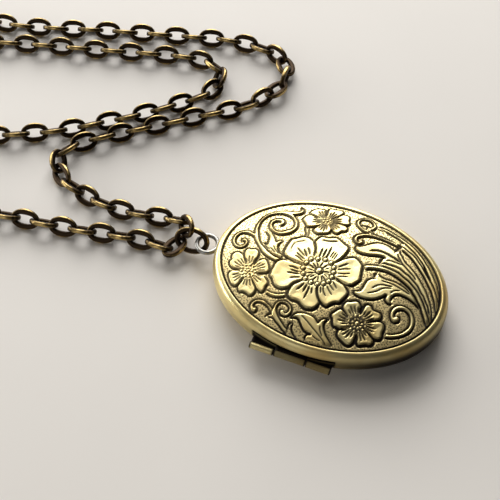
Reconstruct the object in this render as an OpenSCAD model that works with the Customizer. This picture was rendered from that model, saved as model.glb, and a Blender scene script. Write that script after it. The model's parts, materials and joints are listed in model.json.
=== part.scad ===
// Oval locket on a cable chain, lying on its back.
// The origin is the centre of the flat on the back of the case, on the surface it lies on.
// X runs along the oval, away from the hanging loop. The hinge is on the -Y side.

/* [Case] */
// Length of the oval
case_length = 33.4; // [33.2:0.1:33.6]
// Width of the oval
case_width = 25.2; // [25:0.1:25.4]
// Height of the seam between the halves
seam_height = 2.5; // [2.45:0.05:2.6]
// Thickness of the sheet metal
wall = 0.5; // [0.45:0.05:0.55]
// Gap between the closed halves at the seam
seam_gap = 0.06; // [0.04:0.01:0.08]
// Width of the plain rim round the decorated front
rim_width = 1.35; // [1.3:0.05:1.4]
// Height of the rim's top above the seam
rim_height = 2.2; // [2.1:0.05:2.3]
// Rise of the domed front above the rim
front_rise = 1.3; // [1.2:0.05:1.5]
// Depth of the line engraved inside the rim
groove_depth = 0.2; // [0.1:0.01:0.25]
// Height of the raised flowers and scrolls
relief_height = 0.3; // [0.2:0.01:0.35]
// Height of the snap lip above the seam
lip_height = 0.5; // [0.4:0.05:0.6]

/* [Hinge] */
// Diameter of the knuckles
knuckle_d = 0.9; // [0.86:0.01:0.92]
// Diameter of the hinge pin
pin_d = 0.4; // [0.38:0.01:0.42]
// Length of the hinge
hinge_length = 11.4; // [11:0.1:11.8]
// Length of the middle knuckle, which is the lid's
middle_length = 4.4; // [4.2:0.1:4.6]
// Place of the hinge's middle along the oval
hinge_x = -1; // [-1.2:0.1:-0.8]

/* [Loop and jump ring] */
// Diameter of the soldered loop's wire
loop_wire = 0.66; // [0.62:0.01:0.68]
// Diameter of the soldered loop, to the middle of its wire
loop_d = 3; // [2.98:0.01:3.02]
// Length of the oval jump ring
jump_length = 5.3; // [5.28:0.01:5.32]
// Width of the oval jump ring
jump_width = 4; // [3.98:0.01:4.02]
// Diameter of the jump ring's wire
jump_wire = 0.8; // [0.76:0.01:0.81]

/* [Chain] */
// Length of a link
link_length = 4.36; // [4.34:0.01:4.38]
// Width of a link
link_width = 3.1; // [3.08:0.01:3.12]
// Diameter of a link's wire
link_wire = 0.58; // [0.54:0.01:0.6]
// Distance from link to link along the chain
link_pitch = 2.92; // [2.91:0.01:2.93]

/* [Clasp] */
// Length of the clasp's barrel
barrel_length = 5; // [4.8:0.1:5.2]
// Diameter of the clasp's barrel
barrel_d = 2.5; // [2.4:0.1:2.6]
// Diameter of the wire of the clasp's eyes
eye_wire = 0.6; // [0.56:0.02:0.62]

/* [Hidden] */

half_x = case_length / 2;
half_y = case_width / 2;
rim_top = seam_height + rim_height;
back_top = seam_height - seam_gap / 2;
lid_bottom = seam_height + seam_gap / 2;

// The hinge axis runs along X just outside the case, a little below the seam.
pin_clearance = 0.05;
knuckle_to_case = 0.06;
hinge_drop = 0.02;
hinge_y = -(half_y + knuckle_d / 2 + knuckle_to_case);
hinge_z = seam_height - hinge_drop;
knuckle_gap = 0.1;
hinge_low = hinge_x - hinge_length / 2;
hinge_high = hinge_x + hinge_length / 2;
middle_low = hinge_x - middle_length / 2;
middle_high = hinge_x + middle_length / 2;
tab_thickness = 0.3;
tab_to_seam = 0.02;
tab_overlap = 0.08;
recess_depth = 0.3;
recess_height = 0.8;
recess_margin = 0.3;

// Smooth step from 0 to 1 as t goes from 0 to 1.
function smooth(t) = let (c = min(1, max(0, t))) c * c * (3 - 2 * c);

// Distance from point p to the stretch from a to b.
function to_segment(p, a, b) =
    let (ab = b - a, t = min(1, max(0, ((p - a) * ab) / (ab * ab)))) norm(p - a - t * ab);

// Shortest distance from point p to the bent line through the points.
function to_line(p, points) =
    min([for (i = [0 : len(points) - 2]) to_segment(p, points[i], points[i + 1])]);

// Catmull-Rom curve through the points, in the given number of steps from point to point.
function curve(p, steps) =
    let (n = len(p), q = concat([2 * p[0] - p[1]], p, [2 * p[n - 1] - p[n - 2]]))
    concat([for (i = [1 : n - 1]) for (k = [0 : steps - 1])
                let (t = k / steps, a = q[i - 1], b = q[i], c = q[i + 1], d = q[i + 2])
                (2 * b + (c - a) * t + (2 * a - 5 * b + 4 * c - d) * t * t
                 + (3 * b - a - 3 * c + d) * t * t * t) / 2],
           [p[n - 1]]);

// Flowers of the front: centre x, centre y, petal length, direction of a petal.
flowers = [
    [-1.4, -1.0, 5.8, 25],
    [-3.3, 8.0, 2.9, 20],
    [-10.4, -3.9, 3.4, 38],
    [6.0, -6.4, 3.5, 5],
];

// Scrolls and leaves of the front: half width, then the points that the stroke passes.
scrolls = [
    [0.42, [[-7, -0.9], [-9, -0.6], [-11.2, 0.7], [-12.2, 3], [-11.8, 5.8], [-10.2, 7.4], [-8.2, 7],
            [-7.1, 5.2], [-7.9, 3.6], [-9.5, 3.7], [-10.2, 4.9], [-9.3, 5.6]]],
    [0.42, [[-12, 2.3], [-13.3, 2.1], [-14.1, 1], [-13.5, -0.1], [-12.8, 0.5]]],
    [0.4, [[-11.4, 6.9], [-9.8, 8.1], [-8, 8.3], [-7.2, 9.1]]],
    [0.55, [[-10.8, 2.8], [-9.5, 2], [-8.3, 0.9]]],
    [0.42, [[-8.1, -9.2], [-8.1, -8], [-6.9, -7.7], [-5.4, -8.7], [-3, -10.5]]],
    [0.42, [[-4, -8], [-4.9, -7.4], [-5, -8.6]]],
    [0.75, [[-2.2, -8.4], [-0.6, -8.3], [0.7, -9.2], [2.4, -10.4]]],
    [0.42, [[1.7, -7.7], [2.2, -9], [3.6, -10.2]]],
    [0.75, [[2.2, 9.6], [2.3, 10]]],
    [0.42, [[2.4, 6.4], [1.9, 7.4], [3.2, 8.2], [6, 8.2], [9, 7.6], [12, 5.4], [14, 2], [14.6, -1.6]]],
    [0.85, [[3.4, 4.9], [5.2, 5.8], [7, 5.6]]],
    [0.42, [[7.4, 5.6], [10, 5.2], [12.2, 3], [13.6, 0], [14.2, -2.4]]],
    [0.42, [[4.8, 2.7], [7, 3.3], [9.6, 2.9], [12, 0.6], [13.5, -2.2]]],
    [1.05, [[5.2, -1.7], [6.6, -1], [8, 0.2], [9.4, 0.6]]],
    [0.42, [[3.8, 9.5], [7.4, 9.2], [10.6, 7.7], [13.2, 4.9], [14.8, 1.2]]],
    [0.42, [[10.2, -6.3], [11.9, -5.8], [12.9, -4.2], [12.3, -2.6], [10.9, -2.2], [10, -3.3], [10.8, -4.2]]],
];
scroll_lines = [for (s = scrolls) curve(s[1], 3)];

// Height of a flower above its ground, from 0 to 1, at point p: six petals round a raised middle.
petal_notch = 0.74;
petal_slope = 0.7;
petal_foot = 0.55;
middle_height = 0.45;
middle_share = 0.3;
function flower_at(p, f) =
    let (d = p - [f[0], f[1]], r = norm(d), turn = atan2(d.y, d.x) - f[3],
         edge = f[2] * (petal_notch + (1 - petal_notch) * pow(abs(cos(3 * turn)), 0.6)))
    r > f[2] + petal_slope ? 0 :
    smooth((edge - r) / petal_slope) * (petal_foot + (1 - petal_foot) * smooth(r / edge))
    + middle_height * smooth(1.6 - r / (middle_share * f[2]));

// Height of a scroll above its ground, from 0 to 1, at point p.
function scroll_at(p, k) = smooth(1.6 - to_line(p, scroll_lines[k]) / scrolls[k][0]);

// Height of the whole pattern at point p. A petal hides the scroll beneath it.
scroll_share = 0.8;
function relief_at(p) =
    let (flower = max([for (f = flowers) flower_at(p, f)]))
    flower > 0.6 ? flower
                 : max(flower, scroll_share * max([for (k = [0 : len(scrolls) - 1]) scroll_at(p, k)]));

// The mean of the relief at four places close to point p, which evens out its steps.
sample = 0.15;
function even_relief(p) =
    (relief_at(p + [sample, sample]) + relief_at(p + [sample, -sample])
     + relief_at(p + [-sample, sample]) + relief_at(p - [sample, sample])) / 4;

// The front is a grid laid on the oval: a square of side 2 whose sides bulge to a circle.
cells_x = 64;
cells_y = 48;
function on_disc(u, v) = [u * sqrt(1 - v * v / 2), v * sqrt(1 - u * u / 2)];
function grid_uv(i, j) = [2 * i / cells_x - 1, 2 * j / cells_y - 1];
groove_side = 0.15;
plate_drop = 0.1;
plate_margin = 12;
plate_x = half_x - rim_width - groove_side;
plate_y = half_y - rim_width - groove_side;
front_grid = [for (j = [0 : cells_y]) for (i = [0 : cells_x])
                  let (uv = grid_uv(i, j), c = on_disc(uv.x, uv.y), p = [plate_x * c.x, plate_y * c.y],
                       inside = smooth((1 - norm(c)) * plate_margin))
                  [p.x, p.y, rim_top - plate_drop + front_rise * (1 - c * c)
                             + relief_height * inside * even_relief(p)]];

// The grid's edge, counter-clockwise, as places in the grid and as points of a circle.
edge_cells = concat([for (i = [0 : cells_x - 1]) [i, 0]], [for (j = [0 : cells_y - 1]) [cells_x, j]],
                    [for (i = [cells_x : -1 : 1]) [i, cells_y]], [for (j = [cells_y : -1 : 1]) [0, j]]);
edge_count = len(edge_cells);
edge_circle = [for (e = edge_cells) let (uv = grid_uv(e.x, e.y)) on_disc(uv.x, uv.y)];
function grid_index(e) = e.y * (cells_x + 1) + e.x;

// A ring of points round the case at an inset from its outline.
function oval_ring_points(circle_points, inset, z) =
    [for (c = circle_points) [(half_x - inset) * c.x, (half_y - inset) * c.y, z]];

// Rim of the lid from the engraved line to the seam: inset, height. It is straight below its round.
rim_round = rim_width - groove_side;
rim_straight = 0.5;
lid_rim = concat(
    [[rim_width, rim_top - groove_depth - 0.05], [rim_round, rim_top]],
    [for (a = [18 : 18 : 90])
        [rim_round * (1 - sin(a)), seam_height + rim_straight + (rim_height - rim_straight) * cos(a)]],
    [[0, lid_bottom], [wall, lid_bottom]]);
// Inside of the lid from the seam to the crown: inset, height. The last three lie on its dome.
ceiling = rim_top - wall - 0.05;
ceiling_rise = 0.92 * front_rise;
lid_inside = concat(
    [[wall, seam_height + 0.9], [wall + 0.5, ceiling - 0.25], [wall + 1.4, ceiling]],
    [for (s = [0.75, 0.5, 0.25]) [half_x * (1 - s), ceiling + ceiling_rise * (1 - s * s)]]);
inside_step = 4;
inside_count = edge_count / inside_step;
inside_circle = [for (k = [0 : inside_count - 1]) edge_circle[k * inside_step]];
// The rings on the dome shrink evenly, so that they close at the crown.
dome_from = 2.5;
function scaled_ring(circle_points, share, z) =
    [for (c = circle_points) [half_x * share * c.x, half_y * share * c.y, z]];
function lid_inner_ring(p) =
    p[0] < dome_from ? oval_ring_points(inside_circle, p[0], p[1])
                     : scaled_ring(inside_circle, 1 - p[0] / half_x, p[1]);

grid_count = (cells_x + 1) * (cells_y + 1);
rim_start = grid_count;
inside_start = rim_start + len(lid_rim) * edge_count;
crown = inside_start + len(lid_inside) * inside_count;
lid_points = concat(front_grid,
                    [for (p = lid_rim) each oval_ring_points(edge_circle, p[0], p[1])],
                    [for (p = lid_inside) each lid_inner_ring(p)],
                    [[0, 0, ceiling + ceiling_rise]]);

// Two triangles across a cell with corners a, b, c, d, clockwise seen from outside.
function cell(a, b, c, d) = [[a, b, c], [a, c, d]];
// A band of cells between two rings of n points that start at s and t.
function band(s, t, n) =
    [for (k = [0 : n - 1]) let (m = (k + 1) % n) each cell(s + k, s + m, t + m, t + k)];

lid_faces = concat(
    [for (j = [0 : cells_y - 1]) for (i = [0 : cells_x - 1])
        each cell(grid_index([i, j]), grid_index([i, j + 1]),
                  grid_index([i + 1, j + 1]), grid_index([i + 1, j]))],
    [for (k = [0 : edge_count - 1])
        let (m = (k + 1) % edge_count)
        each cell(grid_index(edge_cells[k]), grid_index(edge_cells[m]), rim_start + m, rim_start + k)],
    [for (r = [0 : len(lid_rim) - 2])
        each band(rim_start + r * edge_count, rim_start + (r + 1) * edge_count, edge_count)],
    [for (m = [0 : inside_count - 1])
        let (s = inside_start - edge_count, k = m * inside_step, near = inside_start + m,
             next = inside_start + (m + 1) % inside_count)
        each [[s + k, s + k + 1, near], [s + k + 1, s + k + 2, near], [s + k + 2, next, near],
              [s + k + 2, s + k + 3, next], [s + k + 3, s + (k + 4) % edge_count, next]]],
    [for (r = [0 : len(lid_inside) - 2])
        each band(inside_start + r * inside_count, inside_start + (r + 1) * inside_count, inside_count)],
    [for (k = [0 : inside_count - 1])
        [crown - inside_count + k, crown - inside_count + (k + 1) % inside_count, crown]]);

// The back half, from its crown below, up the outside, over the lip and down the inside: inset, height.
// The crown is cut flat at the surface, which it would pass by back_drop.
back_sides = 72;
back_drop = 0.12;
back_rise = 0.95;
back_rim = 1.3;
back_straight = 0.3;
back_edge = 0.75;
lip_gap = 0.12;
lip_thickness = 0.3;
function back_ring(share, z) =
    [for (k = [0 : back_sides - 1]) let (a = 360 * k / back_sides)
        [(half_x * share) * cos(a), (half_y * share) * sin(a), z]];
function back_inset_ring(inset, z) =
    [for (k = [0 : back_sides - 1]) let (a = 360 * k / back_sides)
        [(half_x - inset) * cos(a), (half_y - inset) * sin(a), z]];
lip_outer = wall + lip_gap;
lip_inner = lip_outer + lip_thickness;
back_rings = concat(
    [for (s = [0.25, 0.5, 0.75]) back_ring(s, back_rise * s * s - back_drop)],
    [back_inset_ring(back_rim + 0.3, back_rise - back_drop - 0.05)],
    [for (a = [72 : -18 : 0])
        back_inset_ring(back_rim * (1 - cos(a)),
                        back_edge + (back_top - back_straight - back_edge) * (1 - sin(a)))],
    [back_inset_ring(0, back_top), back_inset_ring(lip_outer, back_top),
     back_inset_ring(lip_outer, seam_height + lip_height),
     back_inset_ring(lip_inner, seam_height + lip_height),
     back_inset_ring(lip_inner, back_top - 0.5), back_inset_ring(wall, back_top - 0.9),
     back_inset_ring(wall + 0.45, 1.35)],
    [for (s = [0.88, 0.75, 0.5, 0.25]) back_ring(s, back_rise * s * s - back_drop + wall)]);
back_points = concat([[0, 0, -back_drop]], [for (r = back_rings) each r], [[0, 0, wall - back_drop]]);
back_last = 1 + len(back_rings) * back_sides;
back_faces = concat(
    [for (k = [0 : back_sides - 1]) [0, 1 + k, 1 + (k + 1) % back_sides]],
    [for (r = [0 : len(back_rings) - 2])
        each [for (f = band(1 + r * back_sides, 1 + (r + 1) * back_sides, back_sides)) [f[0], f[2], f[1]]]],
    [for (k = [0 : back_sides - 1])
        [back_last, back_last - back_sides + (k + 1) % back_sides, back_last - back_sides + k]]);

// A stretch of the hinge barrel.
module barrel(low, high, d) {
    translate([low, hinge_y, hinge_z]) rotate([0, 90, 0]) cylinder(d = d, h = high - low, $fn = 48);
}

// The hole for the pin through one knuckle.
module pin_hole(low, high) {
    barrel(low - 0.05, high + 0.05, pin_d + 2 * pin_clearance);
}

// A thin tab that joins a knuckle to the case wall, from height z.
module tab(low, high, z) {
    steps = 4;
    inset = wall - tab_overlap;
    translate([0, 0, z]) linear_extrude(tab_thickness)
        polygon(concat([[low, hinge_y], [high, hinge_y]],
                       [for (k = [steps : -1 : 0]) let (x = low + (high - low) * k / steps)
                           [x, -(half_y - inset) * sqrt(1 - pow(x / (half_x - inset), 2))]]));
}

// The recess in the rim above the hinge, as deep as the given inset.
module hinge_recess(inset, low_z, high_z) {
    steps = 8;
    low = hinge_low - recess_margin;
    high = hinge_high + recess_margin;
    translate([0, 0, low_z]) linear_extrude(high_z - low_z)
        polygon(concat([[low, -half_y - 2], [high, -half_y - 2]],
                       [for (k = [steps : -1 : 0]) let (x = low + (high - low) * k / steps)
                           [x, -(half_y - inset) * sqrt(1 - pow(x / (half_x - inset), 2))]]));
}

// Wire bent to an oval ring in the XY plane, round the origin.
module oval_ring(length, width, wire) {
    straight = (length - width) / 2;
    bend = (width - wire) / 2;
    for (side = [0, 180]) rotate([0, 0, side]) {
        translate([straight, 0, 0]) rotate([0, 0, -90])
            rotate_extrude(angle = 180, $fn = 48) translate([bend, 0]) circle(d = wire, $fn = 32);
        translate([-straight, bend, 0]) rotate([0, 90, 0])
            cylinder(d = wire, h = 2 * straight, $fn = 32);
    }
}

// Wire bent to a round ring in the XY plane, round the origin.
module round_ring(d, wire) {
    rotate_extrude($fn = 64) translate([d / 2, 0]) circle(d = wire, $fn = 32);
}

// Back half of the case, with its snap lip, outer knuckles and soldered loop.
loop_to_case = 0.15;
loop_drop = 0.4;
loop_x = -(half_x + loop_d / 2 + loop_to_case);
loop_z = seam_height - loop_drop;
module back_shell() {
    color("darkkhaki") difference() {
        union() {
            difference() {
                polyhedron(points = back_points, faces = back_faces, convexity = 6);
                translate([-half_x, -half_y, -2]) cube([case_length, case_width, 2]);
            }
            for (side = [[hinge_low, middle_low - knuckle_gap], [middle_high + knuckle_gap, hinge_high]]) {
                barrel(side[0], side[1], knuckle_d);
                tab(side[0], side[1], back_top - tab_thickness - tab_to_seam);
            }
            translate([loop_x, 0, loop_z]) round_ring(loop_d, loop_wire);
        }
        pin_hole(hinge_low, middle_low - knuckle_gap);
        pin_hole(middle_high + knuckle_gap, hinge_high);
    }
}

// Front half of the case, the lid, with its raised flowers and the middle knuckle.
module front_shell() {
    color("goldenrod") difference() {
        union() {
            difference() {
                polyhedron(points = lid_points, faces = lid_faces, convexity = 8);
                hinge_recess(recess_depth, lid_bottom - 0.1, lid_bottom + recess_height);
            }
            barrel(middle_low, middle_high, knuckle_d);
            tab(middle_low, middle_high, lid_bottom + tab_to_seam);
        }
        pin_hole(middle_low, middle_high);
    }
}

module hinge_pin() {
    color("gray") barrel(hinge_low, hinge_high, pin_d);
}

// Places of the jump ring and of the first link of each half of the chain, which hang in each
// other: centre, then roll, tilt and heading.
jump_place = [[-20.73, -0.14, 1.94], [-49, 0.6, 183.8]];
upper_first = [[-22.16, 1.3, 2.84], [-56, 18.4, 135.7]];
lower_first = [[-22.81, -1.67, 1.35], [11, -2.3, 253]];

module jump_ring() {
    color("dimgray") translate(jump_place[0]) rotate(jump_place[1])
        oval_ring(jump_length, jump_width, jump_wire);
}

// Ways of the two halves of the chain over the surface, from the jump ring to the clasp.
lie = (link_width - link_wire) / 2 * sin(45) + link_wire / 2;
upper_way = [
    [-20.2, 1.8, 2.6], [-22.6, 2.6, 1.8], [-25.4, 2.7, lie], [-28.3, 2.1, lie], [-34.2, 1.4, lie],
    [-40.2, 2.3, lie], [-43.5, 3.6, lie], [-45.8, 5.8, lie], [-45.9, 8.6, lie], [-42.8, 12, lie],
    [-38.1, 15.7, lie], [-33.2, 19.4, lie], [-28.1, 23.3, lie], [-23.8, 26.5, lie], [-20.8, 30.2, lie],
    [-19.2, 34.6, lie], [-20.7, 38.2, lie], [-25.1, 39.8, lie], [-31, 39.5, lie], [-36.6, 38.1, lie],
    [-47.7, 35, lie], [-53.3, 33.4, lie], [-60, 31.2, lie], [-70, 29.2, lie], [-90, 30, lie],
    [-120, 35, lie], [-138, 36.6, lie], [-148, 35.8, lie], [-154, 32.8, lie], [-155.8, 29.2, lie],
];
lower_way = [
    [-20.7, -2, 1.4], [-22.2, -2.3, 1.3], [-25, -2.1, lie], [-28.4, -2.3, lie], [-31.7, -2.9, lie],
    [-37.2, -4, lie], [-43.1, -4.9, lie], [-48.7, -5.7, lie], [-55, -7, lie], [-61, -7.4, lie],
    [-65.5, -4, lie], [-65.5, 1.5, lie], [-60.5, 5.5, lie], [-53.1, 9.2, lie], [-48, 12, lie],
    [-43, 15.6, lie], [-38, 19.4, lie], [-33.7, 23.3, lie], [-30.2, 26.8, lie], [-28.9, 30.4, lie],
    [-30.4, 33.1, lie], [-34, 33.7, lie], [-39.2, 32.7, lie], [-50, 29.7, lie], [-60.7, 26.8, lie],
    [-72, 23.5, lie], [-90, 19, lie], [-120, 14, lie], [-138, 10.8, lie], [-148, 10.4, lie],
    [-153.8, 12.2, lie], [-155.8, 15.6, lie],
];
// Stretch in which the upper half turns over by 90 degrees: first link, number of links.
upper_twist = [19, 8];
no_twist = [0, 0];

// Running length of the line through the points, at each point.
function lengths(p, i = 0, sum = 0) =
    i == len(p) - 1 ? [sum] : concat([sum], lengths(p, i + 1, sum + norm(p[i + 1] - p[i])));
// The point at distance d along the line, whose running lengths are given.
function point_at(p, run, d, k) = p[k] + (p[k + 1] - p[k]) * (d - run[k]) / (run[k + 1] - run[k]);
// The joints between the links, evenly spaced along the way.
function joints(way) =
    let (p = curve(way, 10), run = lengths(p), all = run[len(run) - 1], n = round(all / link_pitch),
         last = len(p) - 2)
    [for (i = 0, k = 0; i <= n;
          i = i + 1, k = min(last, k + len([for (m = [k + 1 : min(last, k + 30)])
                                             if (run[m] < all * min(i, n) / n) m])))
        point_at(p, run, all * i / n, k)];

// Roll of link i: each link turns 90 degrees from the last, and a little more within the twist.
function roll(i, twist) =
    let (extra = twist[1] == 0 ? 0 : 90 * min(1, max(0, (i - twist[0]) / twist[1])),
         turn = -45 + 90 * i + extra)
    (turn + 90) % 180 - 90;

// Height of a link's centre when it lies on the surface.
function link_rest(roll, tilt) =
    (link_width - link_wire) / 2 * abs(sin(roll)) * cos(tilt)
    + (link_length - link_width) / 2 * abs(sin(tilt)) + link_wire / 2;

module link(centre, turn) {
    translate(centre) rotate(turn) oval_ring(link_length, link_width, link_wire);
}

module chain(way, twist, first) {
    joint = joints(way);
    link(first[0], first[1]);
    for (i = [1 : len(joint) - 2]) {
        v = joint[i + 1] - joint[i];
        centre = (joint[i] + joint[i + 1]) / 2;
        tilt = -atan2(v.z, norm([v.x, v.y]));
        turn = roll(i, twist);
        link([centre.x, centre.y, max(centre.z, link_rest(turn, tilt))], [turn, tilt, atan2(v.y, v.x)]);
    }
}

module chain_upper() {
    color("saddlebrown") chain(upper_way, upper_twist, upper_first);
}

module chain_lower() {
    color("saddlebrown") chain(lower_way, no_twist, lower_first);
}

// The clasp joins the ends of the two halves: an eye in the last upper link, a barrel and a hoop,
// which the closing ring in the last lower link passes. Hoop and ring lean against each other.
clasp_from = upper_way[len(upper_way) - 1];
clasp_to = lower_way[len(lower_way) - 1];
clasp_z = barrel_d / 2 + 0.05;
clasp_heading = atan2(clasp_to.y - clasp_from.y, clasp_to.x - clasp_from.x);
catch = 0.45;
eye_d = 2.2;
hoop_d = 3.8;
hoop_roll = -28;
closing_d = 4.45;
closing_roll = 26;
sunk = 0.1;
barrel_from = eye_d - catch - sunk;
hoop_at = barrel_from + barrel_length + hoop_d / 2 - sunk;
closing_at = norm(clasp_to - clasp_from) + catch - closing_d / 2;
// Places what follows along the line of the clasp, at a distance from the end of the upper half.
module on_clasp(distance) {
    translate([clasp_from.x, clasp_from.y, clasp_z]) rotate([0, 0, clasp_heading])
        translate([distance, 0, 0]) children();
}

module clasp() {
    color("saddlebrown") union() {
        on_clasp(eye_d / 2 - catch) round_ring(eye_d, eye_wire);
        on_clasp(barrel_from) rotate([0, 90, 0]) cylinder(d = barrel_d, h = barrel_length, $fn = 48);
        on_clasp(hoop_at) rotate([hoop_roll, 0, 0]) round_ring(hoop_d, eye_wire);
    }
}

module clasp_ring() {
    color("saddlebrown") on_clasp(closing_at) rotate([closing_roll, 0, 0]) round_ring(closing_d, link_wire);
}

back_shell();
front_shell();
hinge_pin();
jump_ring();
chain_upper();
chain_lower();
clasp();
clasp_ring();
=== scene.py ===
"""Looks of an antique brass oval locket on a cable chain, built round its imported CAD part.

Lengths in the tables are millimetres in the part's own frame: X along the oval, away from the
hanging loop, the hinge on the -Y side, Z up from the surface that the locket lies on.
"""

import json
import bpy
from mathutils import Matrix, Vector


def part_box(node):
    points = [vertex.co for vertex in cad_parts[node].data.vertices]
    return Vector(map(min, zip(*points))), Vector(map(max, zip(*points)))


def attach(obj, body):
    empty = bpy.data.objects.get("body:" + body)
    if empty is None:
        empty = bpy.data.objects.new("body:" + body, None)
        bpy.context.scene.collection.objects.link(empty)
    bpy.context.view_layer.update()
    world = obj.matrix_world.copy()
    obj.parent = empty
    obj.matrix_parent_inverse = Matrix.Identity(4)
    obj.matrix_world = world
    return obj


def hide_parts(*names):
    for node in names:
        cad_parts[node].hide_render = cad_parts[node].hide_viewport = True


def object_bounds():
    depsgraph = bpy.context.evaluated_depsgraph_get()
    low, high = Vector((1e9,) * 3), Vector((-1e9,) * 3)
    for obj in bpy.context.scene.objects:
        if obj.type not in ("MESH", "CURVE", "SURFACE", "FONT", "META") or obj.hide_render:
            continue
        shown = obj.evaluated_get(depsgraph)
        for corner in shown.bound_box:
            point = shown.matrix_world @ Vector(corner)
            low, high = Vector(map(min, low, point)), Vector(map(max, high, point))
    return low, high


bl_info = {
    "name": "Oval Locket",
    "version": (1, 0, 0),
    "blender": (4, 5, 0),
    "location": "View3D > Sidebar > Locket",
    "description": "Builds a hinged brass locket with a floral relief, its cable chain and a stage",
    "category": "Add Mesh",
}

import bpy
import numpy as np
from bpy.props import FloatProperty, FloatVectorProperty, IntProperty, PointerProperty
from mathutils import Matrix, Vector

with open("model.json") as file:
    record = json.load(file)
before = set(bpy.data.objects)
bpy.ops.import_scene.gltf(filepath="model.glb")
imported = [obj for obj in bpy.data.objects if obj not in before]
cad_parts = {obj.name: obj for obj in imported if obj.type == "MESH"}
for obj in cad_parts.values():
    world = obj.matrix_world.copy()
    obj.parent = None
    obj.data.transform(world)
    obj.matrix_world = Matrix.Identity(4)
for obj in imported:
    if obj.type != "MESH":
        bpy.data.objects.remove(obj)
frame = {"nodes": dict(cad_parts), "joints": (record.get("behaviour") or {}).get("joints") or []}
cad_box = [list(corner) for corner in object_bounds()]

MM = 0.001
half_x, half_y = [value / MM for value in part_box("front_shell")[1][:2]]
loop_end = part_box("back_shell")[0][0] / MM
hinge_y, hinge_z = [value / MM for value in frame["joints"][0]["pos_m"][1:]]

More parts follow.
